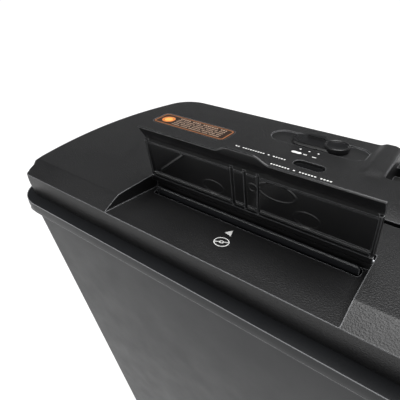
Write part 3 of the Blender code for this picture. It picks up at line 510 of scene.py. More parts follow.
def slope_inset(z):
    """How far the front edge steps back at height z: an arc, the straight slope, and a second arc."""
    low_reach = LOW_EDGE_ROUND * math.tan((math.pi / 2.0 - SLOPE_ANGLE) / 2.0)
    high_reach = HIGH_EDGE_ROUND * math.tan(SLOPE_ANGLE / 2.0)
    slope_foot = TOP - SLOPE_DROP
    rise = z - (slope_foot - low_reach)
    if rise <= 0.0:
        return 0.0
    if rise < low_reach * (1.0 + math.sin(SLOPE_ANGLE)):
        return LOW_EDGE_ROUND - math.sqrt(max(LOW_EDGE_ROUND ** 2 - rise ** 2, 0.0))
    if TOP - z < high_reach * math.sin(SLOPE_ANGLE):
        fall = HIGH_EDGE_ROUND - (TOP - z)
        return SLOPE_DEPTH + high_reach - math.sqrt(max(HIGH_EDGE_ROUND ** 2 - fall ** 2, 0.0))
    return (z - slope_foot) / math.tan(SLOPE_ANGLE)


def cover_ring(z, inset):
    """The head's outline at a height, stepped in all round and held behind the front slope."""
    outline = plan_outline(HEAD_HALF_LENGTH - inset, HEAD_HALF_DEPTH - inset, HEAD_FRONT_CORNER,
                           max(HEAD_BACK_CORNER - inset, 6.0), HEAD_BOWS)
    outline[:, 1] = np.maximum(outline[:, 1], FRONT + slope_inset(z))
    return at_height(outline, z)


def cover_shell():
    """Inside ceiling and wall, bottom lip, outside, slope and rounded top edge. The outside steps in
    towards its foot as a square, 1.4 mm in 13 mm, and rings lie close where the slope begins."""
    rings = [cover_ring(TOP - 2.5, 12.0), cover_ring(TOP - 5.0, 6.2), cover_ring(TOP - 9.0, 3.6)]
    rings += [cover_ring(BOTTOM + 0.4, 4.0), cover_ring(BOTTOM, 3.6), cover_ring(BOTTOM, 1.9)]
    rings += [cover_ring(BOTTOM + 0.15, 1.6)]
    widest = TOP - SLOPE_DROP - 1.0
    for z in np.linspace(BOTTOM + 0.5, widest, 9):
        rings.append(cover_ring(z, 1.4 * ((widest - z) / 13.0) ** 2.0))
    heights = [TOP - SLOPE_DROP - 0.155 + step for step in (0.0, 0.05, 0.1, 0.15, 0.2, 0.225)]
    heights += [TOP - 4.0, TOP - 2.4, TOP - TOP_ROUND]
    rings += [cover_ring(z, 0.0) for z in heights]
    out, up = quarter(TOP_ROUND, 7)
    rings += [cover_ring(TOP - o, -u) for o, u in zip(out[::-1], up[::-1]) if o < 0.99]
    return ring_stack("head_cover_skin", rings)


def cover_blocks():
    """Thickenings under the skin round the tray, the throat and the hand-hold."""
    return [
        prism_x("tray_block", [(-83.2, 326.9), (-38.5, 326.9), (-38.5, 338.2), (-77.0, 338.2),
                               (-83.2, 334.9)], (-89.0, 59.0)),
        block("throat_block", (-83.0, -15.0, 333.6), (149.0, 14.0, 338.3)),
        block("hand_block", (34.5, 35.5, 309.0), (131.5, 70.5, 338.4)),
        block("shelf_block", (34.5, 67.0, 320.3), (131.5, 83.0, 338.5)),
    ]


cover = cover_shell()
combine(cover, cover_blocks(), "UNION")
print("head shell, mm:", [round(v / MM, 1) for v in cover.dimensions])

# %% [markdown]
# ### Sunk features of the head
# The disc tray is a shallow trough that falls towards the back, open at the front slope. Its tool is a
# section carried from front to back: the section's shoulders follow the height of the surface that it
# sinks into, so the rounded lip of the tray runs up the slope and along the top without a break.

# %% Tray, slots, throat, track, button hole, label recess, hand-hold
FLAP_LOW, FLAP_HIGH = corners("disc_flap")
TRAY_X = (FLAP_LOW[0] - 0.6, FLAP_HIGH[0] + 0.6)
TRAY_BACK = -40.3
GUIDE_LOW, GUIDE_HIGH = corners("disc_guide_upper")
DISC_SLOT_X = (GUIDE_LOW[0] - 4.2, GUIDE_HIGH[0] + 4.2)
DISC_SLOT_Y = (-48.9, -41.0)
THROAT_LOW, THROAT_HIGH = corners("paper_guide_front")
THROAT_X = (THROAT_LOW[0], THROAT_HIGH[0])
THROAT_Y = (-11.4, -3.5)
LEAD_IN = (14.5, 3.0)
TRACK_X, TRACK_Y, TRACK_SINK = (-54.0, 21.0), (50.5, 72.5), 1.0
BUTTON_X, BUTTON_Y = (-19.0, 3.0), (20.75, 30.25)
HAND_X, HAND_Y, HAND_FLOOR = (37.0, 129.0), (38.0, 68.0), 311.5
SHELF_Z, EDGE_Y, EDGE_Z = 322.8, 77.5, 330.0
STEM_X, STEM_Y, HOLE_BOTTOM = (-30.0, -4.0), (59.0, 63.0), 330.0
GLAND_X, GLAND_Z, GLAND_RADIUS = -120.0, 327.0, 5.3
LABEL_SINK = 0.65
PIN_RADIUS = 1.4
CLEAR = 12.0
GAP = 0.3
HINGE = next(joint for joint in frame["joints"] if joint["name"] == "flap_hinge")
HINGE_Y, HINGE_Z = (v / MM for v in HINGE["pos_m"][1:])


def tray_floor(y):
    """Height of the tray's floor at y: it falls evenly from the foot of the slope."""
    return TOP - SLOPE_DROP - TRAY_FALL * (y - FRONT)


def surface(y):
    """Height of the head's skin at y: the slope near the front, else the flat top."""
    return np.minimum(TOP, TOP - SLOPE_DROP + (y - FRONT) * SLOPE_DROP / SLOPE_DEPTH)


def tray_tool():
    """Sections in X and Z at each y: floor with rounded feet, upright sides, lips that flare out.
    At the knee, where slope and top meet in a rounded edge, the skin lies 0.11 mm lower."""
    lip, foot = 0.2, 0.7
    out, up = quarter(lip, 5)
    knee, side = FRONT + SLOPE_DEPTH, TRAY_X[1]
    round_knee = (knee - 1.0, knee - 0.4, knee + 0.4, knee + 1.0)
    sections = []
    for y in (FRONT - 8.0, FRONT, *round_knee, TRAY_BACK - 8.0, TRAY_BACK):
        floor, skin = tray_floor(y), surface(y) + 0.02
        if y in round_knee:
            skin -= 0.11
        right = [(side - foot, floor), (side - 0.3 * foot, floor + 0.3 * foot), (side, floor + foot)]
        right += [(side + o, max(skin + u, floor + foot + 0.01 * k))
                  for k, (o, u) in enumerate(zip(out, up))]
        right += [(side + lip, TOP + CLEAR)]
        left = [(TRAY_X[0] + side - x, z) for x, z in reversed(right)]
        sections.append([(x, y, z) for x, z in right + left])
    return ring_stack("tray_tool", sections)


def lead_in_tool():
    """A wedge behind the throat whose underside slopes down towards it."""
    slope = LEAD_IN[1] / LEAD_IN[0]
    low, back = TOP - LEAD_IN[1], THROAT_Y[1]
    outline = [(back - 1.0, low - slope), (back + 40.0, low + 40.0 * slope), (back - 1.0, TOP + 10.0)]
    return prism_x("lead_in_tool", outline, (THROAT_X[0] - 4.0, THROAT_X[1] + 4.0))


def hand_hold_tools():
    """A finger pocket, a shallower shelf behind it, and the lowered back edge."""
    deep = pocket("hand_tool", HAND_X, HAND_Y, 3.0, HAND_FLOOR, TOP, lip=0.8, foot=1.5)
    shelf = pocket("shelf_tool", HAND_X, (HAND_Y[1] - 6.0, EDGE_Y), 1.0, SHELF_Z, TOP, lip=0.8)
    edge = pocket("edge_tool", HAND_X, (EDGE_Y - 3.0, HEAD_HALF_DEPTH + CLEAR), 0.6, EDGE_Z, TOP, lip=0.8)
    return [deep, shelf, edge]


def cut_head(obj):
    """Take every sunk feature out of the shell, the tray first and the hand-hold last."""
    label_x, label_y = ((LABEL_LOW[k] - GAP, LABEL_HIGH[k] + GAP) for k in (0, 1))
    tools = [
        tray_tool(),
        pocket("disc_slot_tool", DISC_SLOT_X, DISC_SLOT_Y, 2.0, BOTTOM + 0.5, TOP - 9.6, lip=0.05),
        pocket("throat_tool", THROAT_X, THROAT_Y, 1.0, BOTTOM + 5.0, TOP, lip=0.9),
        lead_in_tool(),
        pocket("track_tool", TRACK_X, TRACK_Y, 11.0, TOP - TRACK_SINK, TOP, lip=0.35, foot=0.3),
        pocket("stem_tool", STEM_X, STEM_Y, 0.5, HOLE_BOTTOM, TOP, lip=0.1),
        pocket("button_tool", BUTTON_X, BUTTON_Y, 4.75, HOLE_BOTTOM, TOP, lip=0.4),
        pocket("label_tool", label_x, label_y, 4.3, TOP - LABEL_SINK, TOP, lip=0.2, foot=0.1),
        round_bar("gland_tool", (GLAND_X, 78.0, GLAND_Z), (GLAND_X, 92.0, GLAND_Z), GLAND_RADIUS),
    ]
    for side, x in enumerate(TRAY_X):
        ends = (x - 3.0, HINGE_Y, HINGE_Z), (x + 3.0, HINGE_Y, HINGE_Z)
        tools.append(round_bar(f"pin_tool_{side}", *ends, PIN_RADIUS))
    combine(obj, tools + hand_hold_tools(), "DIFFERENCE")


HUMP_RISE, HUMP_SIDE, HUMP_ARC, HUMP_WIDTH = 3.0, 7.0, 6.0, 16.7
HUMP_FRONT, HUMP_RAMP, HUMP_TOE = 32.0, 36.0, 12.0
HUMP_FALL = 11.5
HUMP_END = (82.6, 3.3)


def hump(name, low_x, fall_side):
    """A raised rib beside the hand-hold. Height = HUMP_RISE times a smooth rise over HUMP_SIDE on the
    outer side, less an arc of HUMP_ARC beside the hand-hold, times a ramp and a round back end. The
    ramp is 0.4 of a short smooth toe and 0.6 of a long curve; the back end is a quarter ellipse."""
    across = np.linspace(0.0, HUMP_WIDTH, 40)
    along = np.concatenate([np.linspace(31.5, 38.0, 12), np.linspace(40.0, 80.0, 16),
                            np.linspace(82.4, 85.9, 12)])
    x, y = np.meshgrid(across, along)
    rise = np.clip(x / HUMP_SIDE, 0.0, 1.0)
    rise = rise * rise * (3.0 - 2.0 * rise)
    ramp = np.clip((y - HUMP_FRONT) / HUMP_RAMP, 0.0, 1.0)
    toe = np.clip((y - HUMP_FRONT) / HUMP_TOE, 0.0, 1.0)
    front = 0.4 * toe * toe * (3.0 - 2.0 * toe) + 0.6 * ramp * ramp * (1.6 - 0.6 * ramp)
    back = np.sqrt(np.clip(1.0 - (np.clip(y - HUMP_END[0], 0.0, None) / HUMP_END[1]) ** 2, 0.0, 1.0))
    arc = HUMP_ARC - np.sqrt(HUMP_ARC ** 2 - np.clip(x - HUMP_FALL, 0.0, None) ** 2)
    z = TOP + (HUMP_RISE * rise - arc) * front * back
    x = low_x + (x if fall_side > 0 else across[-1] - x)
    base = np.full_like(z, TOP - 1.6)
    rows, columns = z.shape
    top, bottom = np.stack([x, y, z], -1), np.stack([x, y, base], -1)
    index = np.arange(rows * columns).reshape(rows, columns)
    quads = np.stack([index[:-1, :-1], index[:-1, 1:], index[1:, 1:], index[1:, :-1]], -1).reshape(-1, 4)
    rim = np.concatenate([index[0], index[1:, -1], index[-1, -2::-1], index[-2:0:-1, 0]])
    ahead = np.roll(rim, -1)
    count = rows * columns
    walls = np.stack([rim, rim + count, ahead + count, ahead], -1)
    faces = quads.tolist() + (quads + count).tolist() + walls.tolist()
    return solid(name, np.concatenate([top.reshape(-1, 3), bottom.reshape(-1, 3)]), faces)


cut_head(cover)
combine(cover, [hump("hump_left", 19.5, 1), hump("hump_right", 129.8, -1)], "UNION")
finish_piece(cover, head_abs, "head", ["head_cover"])

# %% [markdown]
# ## The disc flap
# The flap is one thin moulding: a flat panel, a sloping lip that carries on the head's front slope when
# it is shut, a finger tab, a hinge barrel, and underneath the ribs that keep it flat. Its section runs
# from the barrel along the outside to the tip and back along the inside; carried along X it is a grid
# whose inner side is lowered by the ribs, which are written as a sum of smooth steps. It is drawn shut
# and turned open about its hinge, where it rests in the frame.

# %% Flap
FLAP_OPEN = math.radians(HINGE["range_deg"][1])
FLAP_X = (FLAP_LOW[0], FLAP_HIGH[0])
FLAP_MIDDLE = sum(FLAP_X) / 2.0
PANEL = 31.0
LIP = 9.8
FLAP_TOP = TOP - HINGE_Z
THICK = 1.6
LIP_THICK = 1.2
BARREL = 1.8
RIB_SOFT = 0.35
STRAP_LINES = (-8.0, 0.0, 8.0)
# Faint moulded ovals: middle along X, middle from the hinge, and half sizes the same two ways.
OVALS = ((-36.3, 10.2, 7.0, 4.2), (20.5, 10.6, 6.8, 4.6), (-10.5, 19.6, 2.4, 2.4), (3.5, 21.5, 10.5, 5.2))
TAB_REACH, TAB_HALF = 3.4, 16.0


def ridge(distance, half_width):
    """1 within half_width of a line and 0 beyond, with a soft shoulder between."""
    t = np.clip((half_width + RIB_SOFT - np.abs(distance)) / RIB_SOFT, 0.0, 1.0)
    return t * t * (3.0 - 2.0 * t)


def flap_ribs(x, a):
    """How far the inner side stands out at x and a, the distance from the hinge. It is the greatest of
    the end ribs, three straps, the plinth at the barrel, two cross ribs, a slanting rib and ovals."""
    inside = ridge(a - 15.0, 14.2)
    depth = 1.3 * inside * np.maximum(ridge(x - FLAP_X[0] - 1.1, 0.9), ridge(x - FLAP_X[1] + 1.1, 0.9))
    for line in STRAP_LINES:
        depth = np.maximum(depth, 1.1 * inside * ridge(x - FLAP_MIDDLE - line, 0.45))
    between = 1.0 - np.maximum.reduce([ridge(x - FLAP_MIDDLE - line, 1.3) for line in STRAP_LINES])
    depth = np.maximum(depth, 1.9 * ridge(a - 1.5, 1.6))
    depth = np.maximum(depth, 0.9 * between * ridge(a - 5.2, 0.3))
    depth = np.maximum(depth, 0.7 * ridge(a - 27.0, 0.4) * between)
    slant = (x + 76.1) * 0.646 - (a - 8.5) * 0.763
    depth = np.maximum(depth, 0.7 * ridge(slant, 0.4) * ridge(x + 65.7, 10.4))
    for cx, ca, rx, ra in OVALS:
        off = np.hypot((x - cx) / rx, (a - ca) / ra) - 1.0
        depth = np.maximum(depth, 0.25 * ridge(off * min(rx, ra), 0.15))
    return depth


def finger_tab(x):
    """Extra length of the tip at x: TAB_REACH in the middle, with a smooth step down at each side."""
    away = np.clip(np.abs(x - FLAP_MIDDLE) / TAB_HALF, 0.0, 1.0)
    share = np.clip((1.0 - away) / 0.55, 0.0, 1.0)
    return TAB_REACH * share * share * (3.0 - 2.0 * share)


def make_flap():
    """The section has two coordinates: a, away from the hinge, and h, up from it with the flap shut.
    Each part of it adds columns to a grid with one row for each x. Turning about the hinge opens it."""
    x = np.linspace(FLAP_X[0], FLAP_X[1], 310)
    tab = finger_tab(x)[:, None]
    sine, cosine = math.sin(SLOPE_ANGLE), math.cos(SLOPE_ANGLE)
    parts = []

    def add(a, h):
        """Columns at (a, h), each of which may be one value, or one for each x."""
        columns = np.broadcast_arrays(x[:, None], a, h)
        parts.append(np.stack(columns, -1))

    def add_lip(along, below, share):
        """One line of the lip, along it from the bend and below its outer face. A share of the finger
        tab's length is added level with the panel."""
        a = PANEL + along * cosine - below * sine
        add(a + share * tab, FLAP_TOP - along * sine - below * cosine)

    angle = np.linspace(math.radians(100.0), math.radians(285.0), 14)[::-1]
    add(BARREL * np.cos(angle), BARREL * np.sin(angle))
    add(np.array([0.0, 8.0, 20.0, PANEL - 1.0, PANEL - 0.4]), FLAP_TOP)
    reach = LIP - 0.35
    for along, below in ((0.06, 0.03), (0.4, 0.0), (0.8, 0.0), (0.97, 0.0)):
        add_lip(reach * along, below, 0.0)
    tip = ((0.1, 0.03), (0.28, 0.15), (0.35, 0.4), (0.35, 0.9), (0.25, 1.1), (0.0, LIP_THICK))
    for ahead, below in tip:
        add_lip(reach + ahead, below, 1.0)
    for along in (0.92, 0.7, 0.5, 0.3, 0.12):
        add_lip(reach * along, LIP_THICK + 0.25 * (1.0 - along), 0.0)
    inner = np.linspace(1.9, PANEL - 0.8, 92)[::-1]
    add(inner, FLAP_TOP - THICK - flap_ribs(x[:, None], inner[None, :]))

    shut = np.concatenate(parts, axis=1)
    shut_y, shut_z = -shut[..., 1], shut[..., 2]
    turn = -FLAP_OPEN
    y = HINGE_Y + shut_y * math.cos(turn) - shut_z * math.sin(turn)
    z = HINGE_Z + shut_y * math.sin(turn) + shut_z * math.cos(turn)
    flap = ring_stack("disc_flap_skin", np.stack([shut[..., 0], y, z], -1))
    bores = [round_bar(f"bore_{side}", (end - 5.0, HINGE_Y, HINGE_Z), (end + 5.0, HINGE_Y, HINGE_Z),
                       PIN_RADIUS) for side, end in enumerate(FLAP_X)]
    combine(flap, bores, "DIFFERENCE")
    finish_piece(flap, flap_abs, "disc_flap", ["disc_flap"], math.radians(50.0))


make_flap()

# %% [markdown]
# ## The lip of the disc guide
# A disc is laid in the tray and pushed under the flap. It slides in over a polished lip, the top edge of
# the guide that leads it down to the cutters. The lip is a thin blade with a round top and round ends.
# It is painted a little paler than the plastic round it: a painted highlight for the line of light along
# its top. Its section is carried along X, and near each end the section's top comes down along a quarter
# circle.

# %% Disc guide with its lip
GUIDE_SECTION = [(-15.0, 312.0), (-45.6, 325.3), (-46.0, 330.0), (-46.0, 332.7), (-45.87, 333.15),
                 (-45.55, 333.48), (-45.1, 333.6), (-44.65, 333.48), (-44.33, 333.15), (-44.2, 332.7),
                 (-44.2, 330.0), (-44.4, 326.4), (-15.0, 313.6)]
END_ROUND = 2.2
# The lip's colour is painted paler than the plastic round it, as a highlight along its top.
lip_abs = moulded("black_ABS_lip_painted_highlight", "1C1D1F", "28292B", 0.22, 0.8, 0.003, edges=0.4)


def make_guide_lip():
    """Section at x: its height is capped by top - (r - sqrt(r^2 - d^2)), d into the last r at an end."""
    inwards = END_ROUND * (1.0 - np.cos(np.linspace(0.0, math.pi / 2.0, 8)))
    low, high = DISC_SLOT_X[0] + 0.8, DISC_SLOT_X[1] - 0.8
    x = np.concatenate([low + inwards, high - inwards[::-1]])
    into = np.clip(END_ROUND - np.minimum(x - low, high - x), 0.0, END_ROUND)
    cap = GUIDE_HIGH[2] - (END_ROUND - np.sqrt(END_ROUND ** 2 - into ** 2))
    section = np.array(GUIDE_SECTION)
    z = np.minimum(section[None, :, 1], cap[:, None] - 0.001 * np.abs(section[:, 0] + 45.0)[None, :])
    y = np.broadcast_to(section[None, :, 0], z.shape)
    lip = ring_stack("disc_guide_lip", np.stack([np.broadcast_to(x[:, None], z.shape), y, z], -1))
    finish_piece(lip, lip_abs, "head", ["disc_guide_upper"], math.radians(70.0))


make_guide_lip()

# %% [markdown]
# ## The mode knob and the reset button
# The knob slides along its shallow track. It is a flat pill with a round thumb dish at one end, and the
# dish has a raised rim. Both are turned or lofted from the same kind of profile: a list of steps
# outwards and heights. The reset button is a polished pill sunk just below the head.

# %% Knob and button
KNOB_LOW, KNOB_HIGH = corners("mode_knob")
BUTTON_LOW, BUTTON_HIGH = corners("reset_button")
DIAL = (KNOB_HIGH[0] - 9.0, 61.0)
BUTTON_SINK = 0.7
knob_abs = moulded("black_ABS_satin_knob", "121213", "1A1A1B", 0.28, 0.8, 0.003, edges=0.0)


def pill(name, x, y, bottom, top, edge, radius=None):
    """A block with rounded ends and a rounded top edge."""
    out, up = quarter(edge, 6)
    levels = [(-0.2, bottom), (0.0, bottom + 0.2)]
    levels += [(-edge - u, top - o) for o, u in zip(out[::-1], up[::-1])]
    radius = radius or (y[1] - y[0]) / 2.0
    return ring_stack(name, [at_height(rounded_box(x, y, radius, grow), z) for grow, z in levels])


def turned(name, centre, profile, sides=72):
    """A profile of (radius, z) pairs turned about an upright axis."""
    angle = np.linspace(0.0, 2.0 * math.pi, sides, endpoint=False)
    circle = np.column_stack([np.cos(angle), np.sin(angle)])
    return ring_stack(name, [at_height(np.array(centre) + r * circle, z) for r, z in profile])


def make_knob():
    """Body, dial with its rim and dish, raised grip, and the stem that reaches the switch."""
    base, top = KNOB_HIGH[2] - 4.0, KNOB_HIGH[2]
    body = pill("mode_knob_skin", (KNOB_LOW[0], KNOB_HIGH[0] - 1.0), (53.0, 69.0), base, base + 2.6, 0.7)
    rim = [(8.9, base + 0.5), (8.9, base + 2.2), (9.0, base + 3.1), (8.95, top - 0.5), (8.75, top - 0.2),
           (8.4, top), (8.0, top), (7.65, top - 0.15), (7.4, top - 0.5), (7.2, top - 0.85), (6.6, top - 1.05),
           (3.0, top - 1.2), (0.6, top - 1.22)]
    grip = pill("knob_grip", (-27.5, -13.0), (65.6, 69.6), base + 1.0, top, 0.7, 0.9)
    stem = block("knob_stem", (-21.0, 59.6, 332.0), (-13.0, 62.4, base + 0.5))
    combine(body, [turned("knob_dial", DIAL, rim), grip, stem], "UNION")
    finish_piece(body, knob_abs, "mode_knob", ["mode_knob"])


def make_button():
    """A polished pill on a round pin."""
    x, y = (BUTTON_LOW[0], BUTTON_HIGH[0]), (BUTTON_LOW[1], BUTTON_HIGH[1])
    top = BUTTON_HIGH[2] - BUTTON_SINK
    button = pill("reset_button_skin", x, y, BUTTON_HIGH[2] - 4.6, top, 1.6)
    pin = round_bar("button_pin", (-8.0, 25.5, BUTTON_LOW[2]), (-8.0, 25.5, top - 4.0), 1.6)
    combine(button, [pin], "UNION")
    finish_piece(button, gloss_abs, "reset_button", ["reset_button"])


make_knob()
make_button()

# %% [markdown]
# ## Printed marks
# Markings are screen printed: a film of ink some hundredths of a millimetre thick lies on the plastic.
# They could be painted into the plastic's colour, but a real film catches light at its edge, so each
# mark is a thin solid. Where the real object carries words, rows of small blocks stand in for them.

# %% Ink
INK = 0.05
SINK = -0.02


def ink(name, fills, bands, height, material):
    """Thin solids on the head. A fill is one outline. A band lies between two outlines of equal
    length. height(y) is the height of the skin below, which the ink starts just under."""
    points, faces, start = [], [], 0

    def wall(count, low, high):
        """Quads between loop low and loop high of the mark that begins at start."""
        ring = np.arange(count)
        ahead = np.roll(ring, -1)
        below, above = start + low * count, start + high * count
        return np.stack([ring + below, ahead + below, ahead + above, ring + above], -1).tolist()

    for outline in fills:
        count, z = len(outline), height(outline[:, 1])
        points += [at_height(outline, z + SINK), at_height(outline, z + INK)]
        ring = np.arange(count)
        faces += wall(count, 0, 1) + [(start + ring[::-1]).tolist(), (start + ring + count).tolist()]
        start += 2 * count
    for outer, inner in bands:
        count = len(outer)
        loops = [(outer, SINK), (outer, INK), (inner, INK), (inner, SINK)]
        points += [at_height(line, height(line[:, 1]) + up) for line, up in loops]
        for low, high in ((0, 1), (1, 2), (2, 3), (3, 0)):
            faces += wall(count, low, high)
        start += 4 * count
    obj = solid(name, np.concatenate(points), faces)
    finish_piece(obj, material, "head", ())


def bar(x, y, width):
    """Outline of a round-ended bar from x[0] to x[1], centred on y."""
    return rounded_box(x, (y - width / 2.0, y + width / 2.0), width / 2.0, arc=5)


def circle(centre, radius, sides=40):
    """Outline of a circle."""
    angle = np.linspace(0.0, 2.0 * math.pi, sides, endpoint=False)
    return np.array(centre) + radius * np.column_stack([np.cos(angle), np.sin(angle)])


def printed(name, dark, pale, roughness):
    """Screen-print ink: slightly uneven, with the mesh of the screen as a fine grain."""
    return moulded(name, dark, pale, roughness, 0.25, 0.004, ior=1.5, edges=0.0)


def blocks(x, y, height, groups):
    """A row of small blocks in groups, from x[0] to x[1]: plain marks in place of words."""
    pitch = (x[1] - x[0]) / (sum(groups) + len(groups) - 1)
    places = np.concatenate([start + np.arange(count) for start, count in
                             zip(np.cumsum([0] + [g + 1 for g in groups[:-1]]), groups)])
    return [rounded_box((x[0] + k * pitch, x[0] + (k + 0.68) * pitch), (y - height / 2.0, y + height / 2.0),
                        0.25 * pitch, arc=4) for k in places]


white_ink = printed("white_screen_ink", "E4E4E2", "F4F4F2", 0.42)
orange_ink = printed("orange_screen_ink", "D0743A", "E08A4A", 0.45)
amber_ink = printed("amber_screen_ink", "F4A84E", "FBC268", 0.45)
brown_ink = printed("copper_screen_ink", "8E5A38", "A06A46", 0.45)
pale_ink = printed("cream_screen_ink", "BCA08A", "CCB29C", 0.45)
print("inks made")

# %% [markdown]
# ### White marks
# Two rows of blocks, three bars and three spots lie on the head, and a disc sign lies on the tray's floor and
# points to the slot. All the marks of one place are one film, as one pass of the screen prints them.

# %% White marks on the head and in the tray
DISC_MARK = (-15.5, -66.9)


def flat_top(y):
    """The head's top, level at every y."""
    return np.full(len(y), TOP)


def make_white_marks():
    """Rows of blocks, three spots, and three bars between the knob's track and the rows."""
    fills = blocks((-65.0, -24.0), 24.3, 1.4, [2, 9, 1, 5])
    fills += blocks((-30.5, 13.0), 13.6, 1.5, [7, 1, 6, 4])
    fills += [circle(c, 0.75, 20) for c in ((-23.4, 45.9), (-16.7, 45.8), (-9.8, 45.8))]
    fills += [bar((-27.4, -19.8), 39.5, 3.0), bar((-18.6, -15.6), 39.3, 1.0), bar((-11.8, -8.6), 38.9, 1.0)]
    ink("white_marks", fills, [], flat_top, white_ink)


def make_disc_mark():
    """A ring, a hub and a bar across them, and a small triangle that points to the slot."""
    x, y = DISC_MARK
    turn = math.radians(28.0)
    across = np.array([[math.cos(turn), math.sin(turn)], [-math.sin(turn), math.cos(turn)]])
    left = bar((-3.8, -1.2), 0.0, 0.6) @ across + [x, y]
    right = bar((1.2, 3.8), 0.0, 0.6) @ across + [x, y]
    triangle = np.array([(-19.2, -58.2), (-14.6, -59.4), (-16.6, -53.6)])
    bands = [(circle(DISC_MARK, outer), circle(DISC_MARK, inner))
             for outer, inner in ((4.3, 3.75), (1.3, 0.7))]
    ink("disc_mark", [left, right, triangle], bands, tray_floor, white_ink)


make_white_marks()
make_disc_mark()

# %% [markdown]
# ### The label
# The label is a film with round corners set in its own shallow recess. It is printed dark, with an
# copper border that follows the edge, an orange disc at the left, and rows of small blocks in place of
# text.

# %% Label film and its print
LABEL_X = (LABEL_LOW[0], LABEL_HIGH[0])
LABEL_Y = (LABEL_LOW[1], LABEL_HIGH[1])
LABEL_CORNER = 4.0
LABEL_BELOW_TOP = 0.06
LABEL_DISC = (-139.8, 35.8)
ROWS_X = (-131.5, -84.0)
label_film = moulded("dark_printed_vinyl_film", "2A1C14", "33231A", 0.33, 0.8, 0.003, ior=1.5, edges=0.0)


def label_top(y):
    """The film's top, level at every y."""
    return np.full(len(y), TOP - LABEL_BELOW_TOP)


def make_label():
    """The film, its border, its disc with a core, and one tall and four low rows of blocks."""
    film = ring_stack("info_label_skin", [
        at_height(rounded_box(LABEL_X, LABEL_Y, LABEL_CORNER, grow), z)
        for grow, z in ((0.0, LABEL_LOW[2]), (0.0, TOP - 0.12), (-0.04, TOP - 0.07), (-0.1, TOP - 0.06))])
    finish_piece(film, label_film, "head", ["info_label"])
    border = tuple(rounded_box(LABEL_X, LABEL_Y, LABEL_CORNER, grow) for grow in (-0.9, -2.0))
    disc = (circle(LABEL_DISC, 5.8), circle(LABEL_DISC, 3.6))
    ink("label_border", [], [border], label_top, brown_ink)
    ink("label_disc", [], [disc], label_top, orange_ink)
    ink("label_core", [circle(LABEL_DISC, 3.5)], [], label_top, amber_ink)
    rows = blocks(ROWS_X, 42.4, 1.5, [5, 4, 7, 3])
    for y, groups in ((39.0, [3, 8, 5, 9, 4]), (36.0, [7, 4, 9, 5, 6]),
                      (33.0, [4, 7, 6, 9, 3]), (30.0, [6, 5, 9, 4, 7])):
        rows += blocks(ROWS_X, y, 1.1, groups)
    ink("label_text_blocks", rows, [], label_top, pale_ink)


make_label()

# %% [markdown]
# ## Metals and inner parts
# The cutter block is seen through the throat and when the head is lifted. Its parts keep their own
# shapes, which are right already, and take the finish of their material. Cutters and rods are ground,
# which leaves fine lines round the axis; plates are zinc plated, with cloudy crystals a few
# millimetres across; bearings are sintered bronze, full of pores; gears and combs are nylon.

# %% Metal, nylon, rubber and board
TRACK_PITCH = 2.5


def metal(name, dark, pale, roughness, grain_mm, relief_mm, stretch=(1.0, 1.0, 1.0)):
    """Metal with a directional grain: noise squeezed along the axes by stretch moves tone and
    roughness, and lifts the surface by relief_mm."""
    material, tree, shader = start_material(name, roughness, metallic=1.0)
    place = node(tree, "TexCoord").outputs["Object"]
    placed = node(tree, "Mapping", {"Vector": place, "Scale": stretch}).outputs["Vector"]
    grain = node(tree, "TexNoise", {"Vector": placed, "Scale": 1.0 / (grain_mm * MM),
                                    "Detail": 3.0}).outputs["Fac"]
    tone = node(tree, "Mix", {0: grain, 6: linear(dark), 7: linear(pale)}, data_type="RGBA").outputs[2]
    edge = node(tree, "Math", {0: edge_mask(tree, 0.3), 1: 0.6}, operation="MULTIPLY").outputs["Value"]
    tone = node(tree, "Mix", {0: edge, 6: tone, 7: linear("E6E7E8")}, data_type="RGBA").outputs[2]
    rough = node(tree, "MapRange", {"Value": grain, "From Min": 0.3, "From Max": 0.7,
                                    "To Min": roughness * 0.8, "To Max": roughness * 1.25}).outputs["Result"]
    bump = node(tree, "Bump", {"Height": grain, "Strength": 1.0,
                               "Distance": relief_mm * MM}).outputs["Normal"]
    tree.links.new(tone, shader.inputs["Base Color"])
    tree.links.new(rough, shader.inputs["Roughness"])
    tree.links.new(bump, shader.inputs["Normal"])
    return material


def circuit_board():
    """Green solder mask over copper tracks: a brick pattern at TRACK_PITCH gives the tracks."""
    material, tree, shader = start_material("green_solder_mask_board", 0.35, ior=1.5)
    place = node(tree, "TexCoord").outputs["Object"]
    tracks = node(tree, "TexBrick", {"Vector": place, "Color1": linear("0D3F26"), "Color2": linear("114A2D"),
                                     "Mortar": linear("1E6B45"), "Scale": 1.0 / (2.0 * TRACK_PITCH * MM),
                                     "Mortar Size": 0.06}).outputs
    bump = node(tree, "Bump", {"Height": tracks["Fac"], "Strength": 0.6,
                               "Distance": 0.03 * MM}).outputs["Normal"]
    dust = node(tree, "TexNoise", {"Vector": place, "Scale": 1.0 / (4.0 * MM)}).outputs["Fac"]
    rough = node(tree, "MapRange", {"Value": dust, "To Min": 0.28, "To Max": 0.42}).outputs["Result"]
    tree.links.new(tracks["Color"], shader.inputs["Base Color"])
    tree.links.new(rough, shader.inputs["Roughness"])
    tree.links.new(bump, shader.inputs["Normal"])
    return material


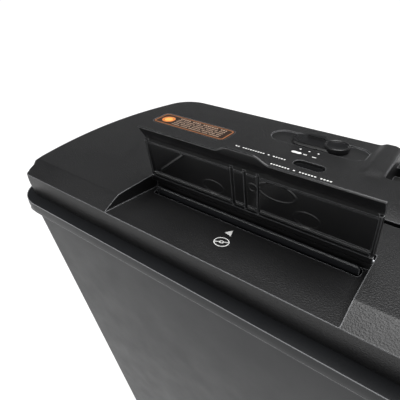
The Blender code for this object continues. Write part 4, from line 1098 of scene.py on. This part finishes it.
# Grinding lines are 0.05 mm apart; they are drawn 0.4 mm apart so that they can be seen.
ground_steel = metal("tool_steel_ground", "9A9DA0", "B8BABD", 0.27, 0.4, 0.004, (1.0, 0.15, 0.15))
drawn_steel = metal("steel_drawn_bright", "A4A7AA", "BFC1C4", 0.24, 0.4, 0.003, (0.1, 1.0, 1.0))
zinc_plate = metal("steel_zinc_plated", "A9ACAF", "C6C9CC", 0.36, 2.5, 0.004)
bronze = metal("bronze_sintered", "8C6238", "A97B4A", 0.42, 0.3, 0.012)
nylon = moulded("natural_nylon_moulded", "C9C4B2", "DAD6C6", 0.42, 0.8, 0.006, ior=1.53, edges=0.0)
moulding_black = moulded("black_PBT_component_case", "151515", "1E1E1F", 0.38, 0.4, 0.006, ior=1.57)
rubber = moulded("black_rubber_moulded", "111111", "191919", 0.72, 0.5, 0.012, ior=1.52, edges=0.0)
board = circuit_board()
FINISHES = {
    ground_steel: ["cutter_front", "cutter_rear", "drive_gear", "sync_gear_front", "sync_gear_rear",
                   "motor_pinion"],
    drawn_steel: ["axle_a", "axle_b", "flap_pin_left", "flap_pin_right", "button_spring", "interlock_spring",
                  "tie_rod_1", "tie_rod_2", "tie_rod_3", "tie_rod_4"],
    zinc_plate: ["end_plate_left", "end_plate_right", "motor_plate", "motor"]
                + [f"cover_screw_{number}" for number in range(1, 7)],
    bronze: ["bearing_front_left", "bearing_front_right", "bearing_rear_left", "bearing_rear_right"],
    nylon: ["gear_a", "gear_b", "stripper_front", "stripper_rear", "interlock_plunger"],
    moulding_black: ["mode_switch", "button_switch", "interlock_switch", "thermal_cutout", "relay",
                     "capacitor", "paper_sensor_emitter", "paper_sensor_receiver"],
    rubber: ["cord_gland"],
    board: ["control_board"],
    inner_abs: ["lower_housing", "paper_guide_front", "paper_guide_rear", "disc_guide_lower"],
}
for material, names in FINISHES.items():
    for name in names:
        frame["nodes"][name].material_slots[0].material = material
print("finishes on", sum(len(names) for names in FINISHES.values()), "frame nodes")
